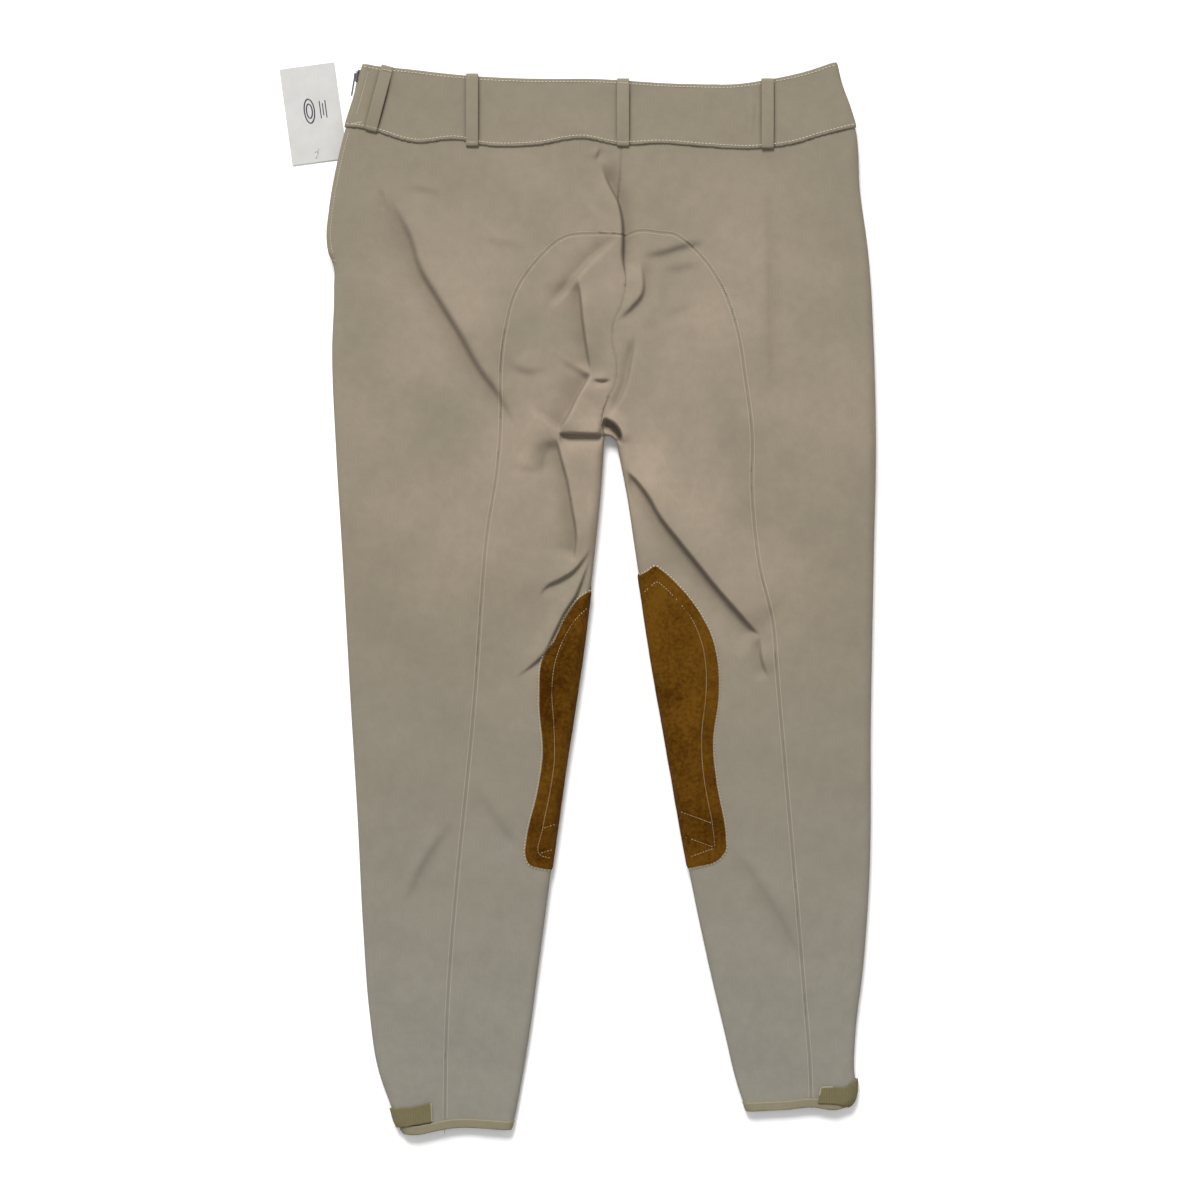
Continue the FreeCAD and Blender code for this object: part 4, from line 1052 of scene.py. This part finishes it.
# A generic mark, measured from the card's middle: two ovals, and three strokes beside them.
OVAL_MIDDLE = (-3, 3)
OVALS = [(4.6, 11.0), (2.6, 6.5)]
STROKES = [(7.0, 8.0), (9.6, 5.5), (12.2, 8.0)]     # distance to the right, half length
TAG_HOLE = np.array([-238.7, 408.0])
BAND_HOLE = np.array([-203.2, 433.8])


def hang_tag(card, ink, plastic):
    """The card, its mark and the moulded pin, which runs under the card to the waistband."""
    paint("hang_tag", card)
    low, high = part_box("hang_tag")
    middle = np.array([(low.x + high.x) / 2, (low.y + high.y) / 2]) / MM
    lean = math.radians(TAG_LEAN)
    right, up = np.array([math.cos(lean), math.sin(lean)]), np.array([-math.sin(lean), math.cos(lean)])
    face = high.z / MM + 0.05

    def drawn(points, radius, flatten):
        return round_tube([(*(middle + right * x + up * y), face) for x, y in points], radius, 6, flatten)

    shapes = []
    for wide, tall in OVALS:
        oval = [(OVAL_MIDDLE[0] + wide * math.cos(a), OVAL_MIDDLE[1] + tall * math.sin(a))
                for a in np.linspace(0, math.tau, 49)]
        shapes.append(drawn(oval, 0.8, 0.1))
    for offset, half in STROKES:
        shapes.append(drawn([(offset, 3 + half * f) for f in (-1, -0.5, 0, 0.5, 1)], 0.62, 0.12))
    make("hang_tag_mark", shapes, ink, body="tag")
    stem = spaced_curve(np.array([(*TAG_HOLE, 2.0), (*(TAG_HOLE + (0.2, 0.1)), 0.9),
                                  (*(TAG_HOLE + (1.5, 1)), 0.35), (-226, 417, 0.3), (-206, 431.5, 0.3),
                                  (*BAND_HOLE, 0.6), (*(BAND_HOLE + 0.2), 1.6)]), 0.4)
    bar = [(*(TAG_HOLE + (0.164 * f, 0.986 * f)), 2.0) for f in np.linspace(-4.5, 4.5, 7)]
    make("tag_pin_moulding", [round_tube(stem, 0.26), round_tube(bar, 0.4)], plastic,
         ["tag_pin"])


def care_label(cloth):
    outline = np.array([(70, 425), (100, 425), (100, 464), (70, 464), (70, 425)], float)
    label = trim(ring_of(spaced_line(outline, 1.5)), [], 0.3, low=-1.7, spacing=2.5)
    piece = make("care_label_cloth", [label], cloth, ["care_label"])


# ---- sewing, light and camera

def seam_stitches(thread):
    """Twin rows beside the seat seams, a row along the placket, and a bartack at its foot."""
    _, left_seat, right_seat = SEAMS
    rows = []
    for line, hem in ((left_seat, LEFT_HEM), (right_seat, RIGHT_HEM)):
        sewn = line[line[:, 1] > hem[2][1] + HEM_HEIGHT + 1]
        for way in (-1.9, 1.9):
            rows.append(stitches(shifted(sewn, way), length=1.4, pitch=2.5))
    placket = stretch(EDGES[0], (-211, 427), (-226, 312))
    rows.append(stitches(shifted(placket, 4.0), length=2.0, pitch=2.8, width=0.4))
    make("seam_stitches", rows, thread)
    tack = stitches(np.linspace((-226.5, 309), (-219.5, 307), 8), length=0.8, pitch=1.0, zigzag=0.5)
    make("placket_bartack", [tack], thread)


def lamp(name, where, size, power, colour=(1, 1, 1)):
    """A soft square light, where in metres, aimed at the middle of the garment."""
    data = bpy.data.lights.new(name, "AREA")
    data.size, data.energy, data.color = size, power, colour
    made = add_object(name, data)
    made.location = where
    made.rotation_euler = (-Vector(where)).to_track_quat("-Z", "Y").to_euler()
    return made


FLOOR_SIZE = 6
CAMERA_PLACE = (0.0209, -0.0023, 2.447)
CAMERA_LENS = 80
DAYLIGHT = 0.58


def studio():
    """A pale floor, one large soft light from above the waistband, a weaker one opposite, and the camera."""
    floor = bpy.data.meshes.new("floor")
    corners = [(x * FLOOR_SIZE, y * FLOOR_SIZE, 0) for x, y in ((-1, -1), (1, -1), (1, 1), (-1, 1))]
    floor.from_pydata(corners, [], [(0, 1, 2, 3)])
    floor.materials.append(material("floor", (0.93, 0.93, 0.93), 0.95))
    key = lamp("key", (-1.3, 5.8, 5.4), 3.0, 880, (1.0, 0.99, 0.97))
    fill = lamp("fill", (0.8, -1.6, 3.4), 2.4, 10)
    add_object("floor", floor)
    world = bpy.data.worlds.new("studio")
    world.use_nodes = True
    sky = world.node_tree.nodes["Background"].inputs
    sky["Color"].default_value = (1, 1, 1, 1)
    sky["Strength"].default_value = DAYLIGHT
    scene = bpy.context.scene
    scene.world = world
    data = bpy.data.cameras.new("camera")
    data.lens = CAMERA_LENS
    scene.camera = add_object("camera", data)
    scene.camera.location = CAMERA_PLACE
    scene.view_settings.view_transform = "Standard"


def main():
    cloth = twill("twill", (0.182, 0.158, 0.116), (0.282, 0.224, 0.169), (0.203, 0.199, 0.172))
    lining = twill("lining", (0.21, 0.175, 0.13), (0.22, 0.18, 0.135), (0.19, 0.165, 0.125))
    thread = plain("thread", (0.46, 0.41, 0.33), 0.75)
    pale_thread = plain("pale_thread", (0.5, 0.43, 0.3), 0.7)
    panels(cloth)
    waistband(cloth, lining, thread)
    belt_loops(cloth, thread)
    knee_patches(suede("suede", (0.052, 0.0185, 0.0006), (0.112, 0.049, 0.0045)), pale_thread)
    hem_tapes(woven("hem_tape", (0.235, 0.21, 0.14), (0.16, 0.14, 0.09), 0.0011, 0), thread)
    ankle_closings(woven("closing_tape", (0.175, 0.150, 0.078), (0.10, 0.085, 0.042), RIB * MM, 0),
                   woven("loop_tape", (0.2, 0.175, 0.1), (0.12, 0.1, 0.05), 0.0009, 1),
                   woven("hook_tape", (0.18, 0.155, 0.09), (0.1, 0.085, 0.045), 0.0012, 1), pale_thread)
    side_zip(woven("zip_tape", (0.25, 0.215, 0.16), (0.17, 0.145, 0.11), 0.0008, 1),
             plain("zip_nylon", (0.2, 0.175, 0.135), 0.45),
             plain("zip_metal", (0.11, 0.11, 0.115), 0.38, metal=1.0), lining)
    hang_tag(plain("tag_card", (0.43, 0.425, 0.41), 0.6, grain=400.0, strength=0.08),
             plain("tag_ink", (0.02, 0.015, 0.03), 0.5), plain("tag_plastic", (0.62, 0.62, 0.6), 0.25))
    care_label(woven("label", (0.72, 0.71, 0.68), (0.6, 0.59, 0.56), 0.0006, 1, 0.2))
    seam_stitches(thread)
    studio()


main()
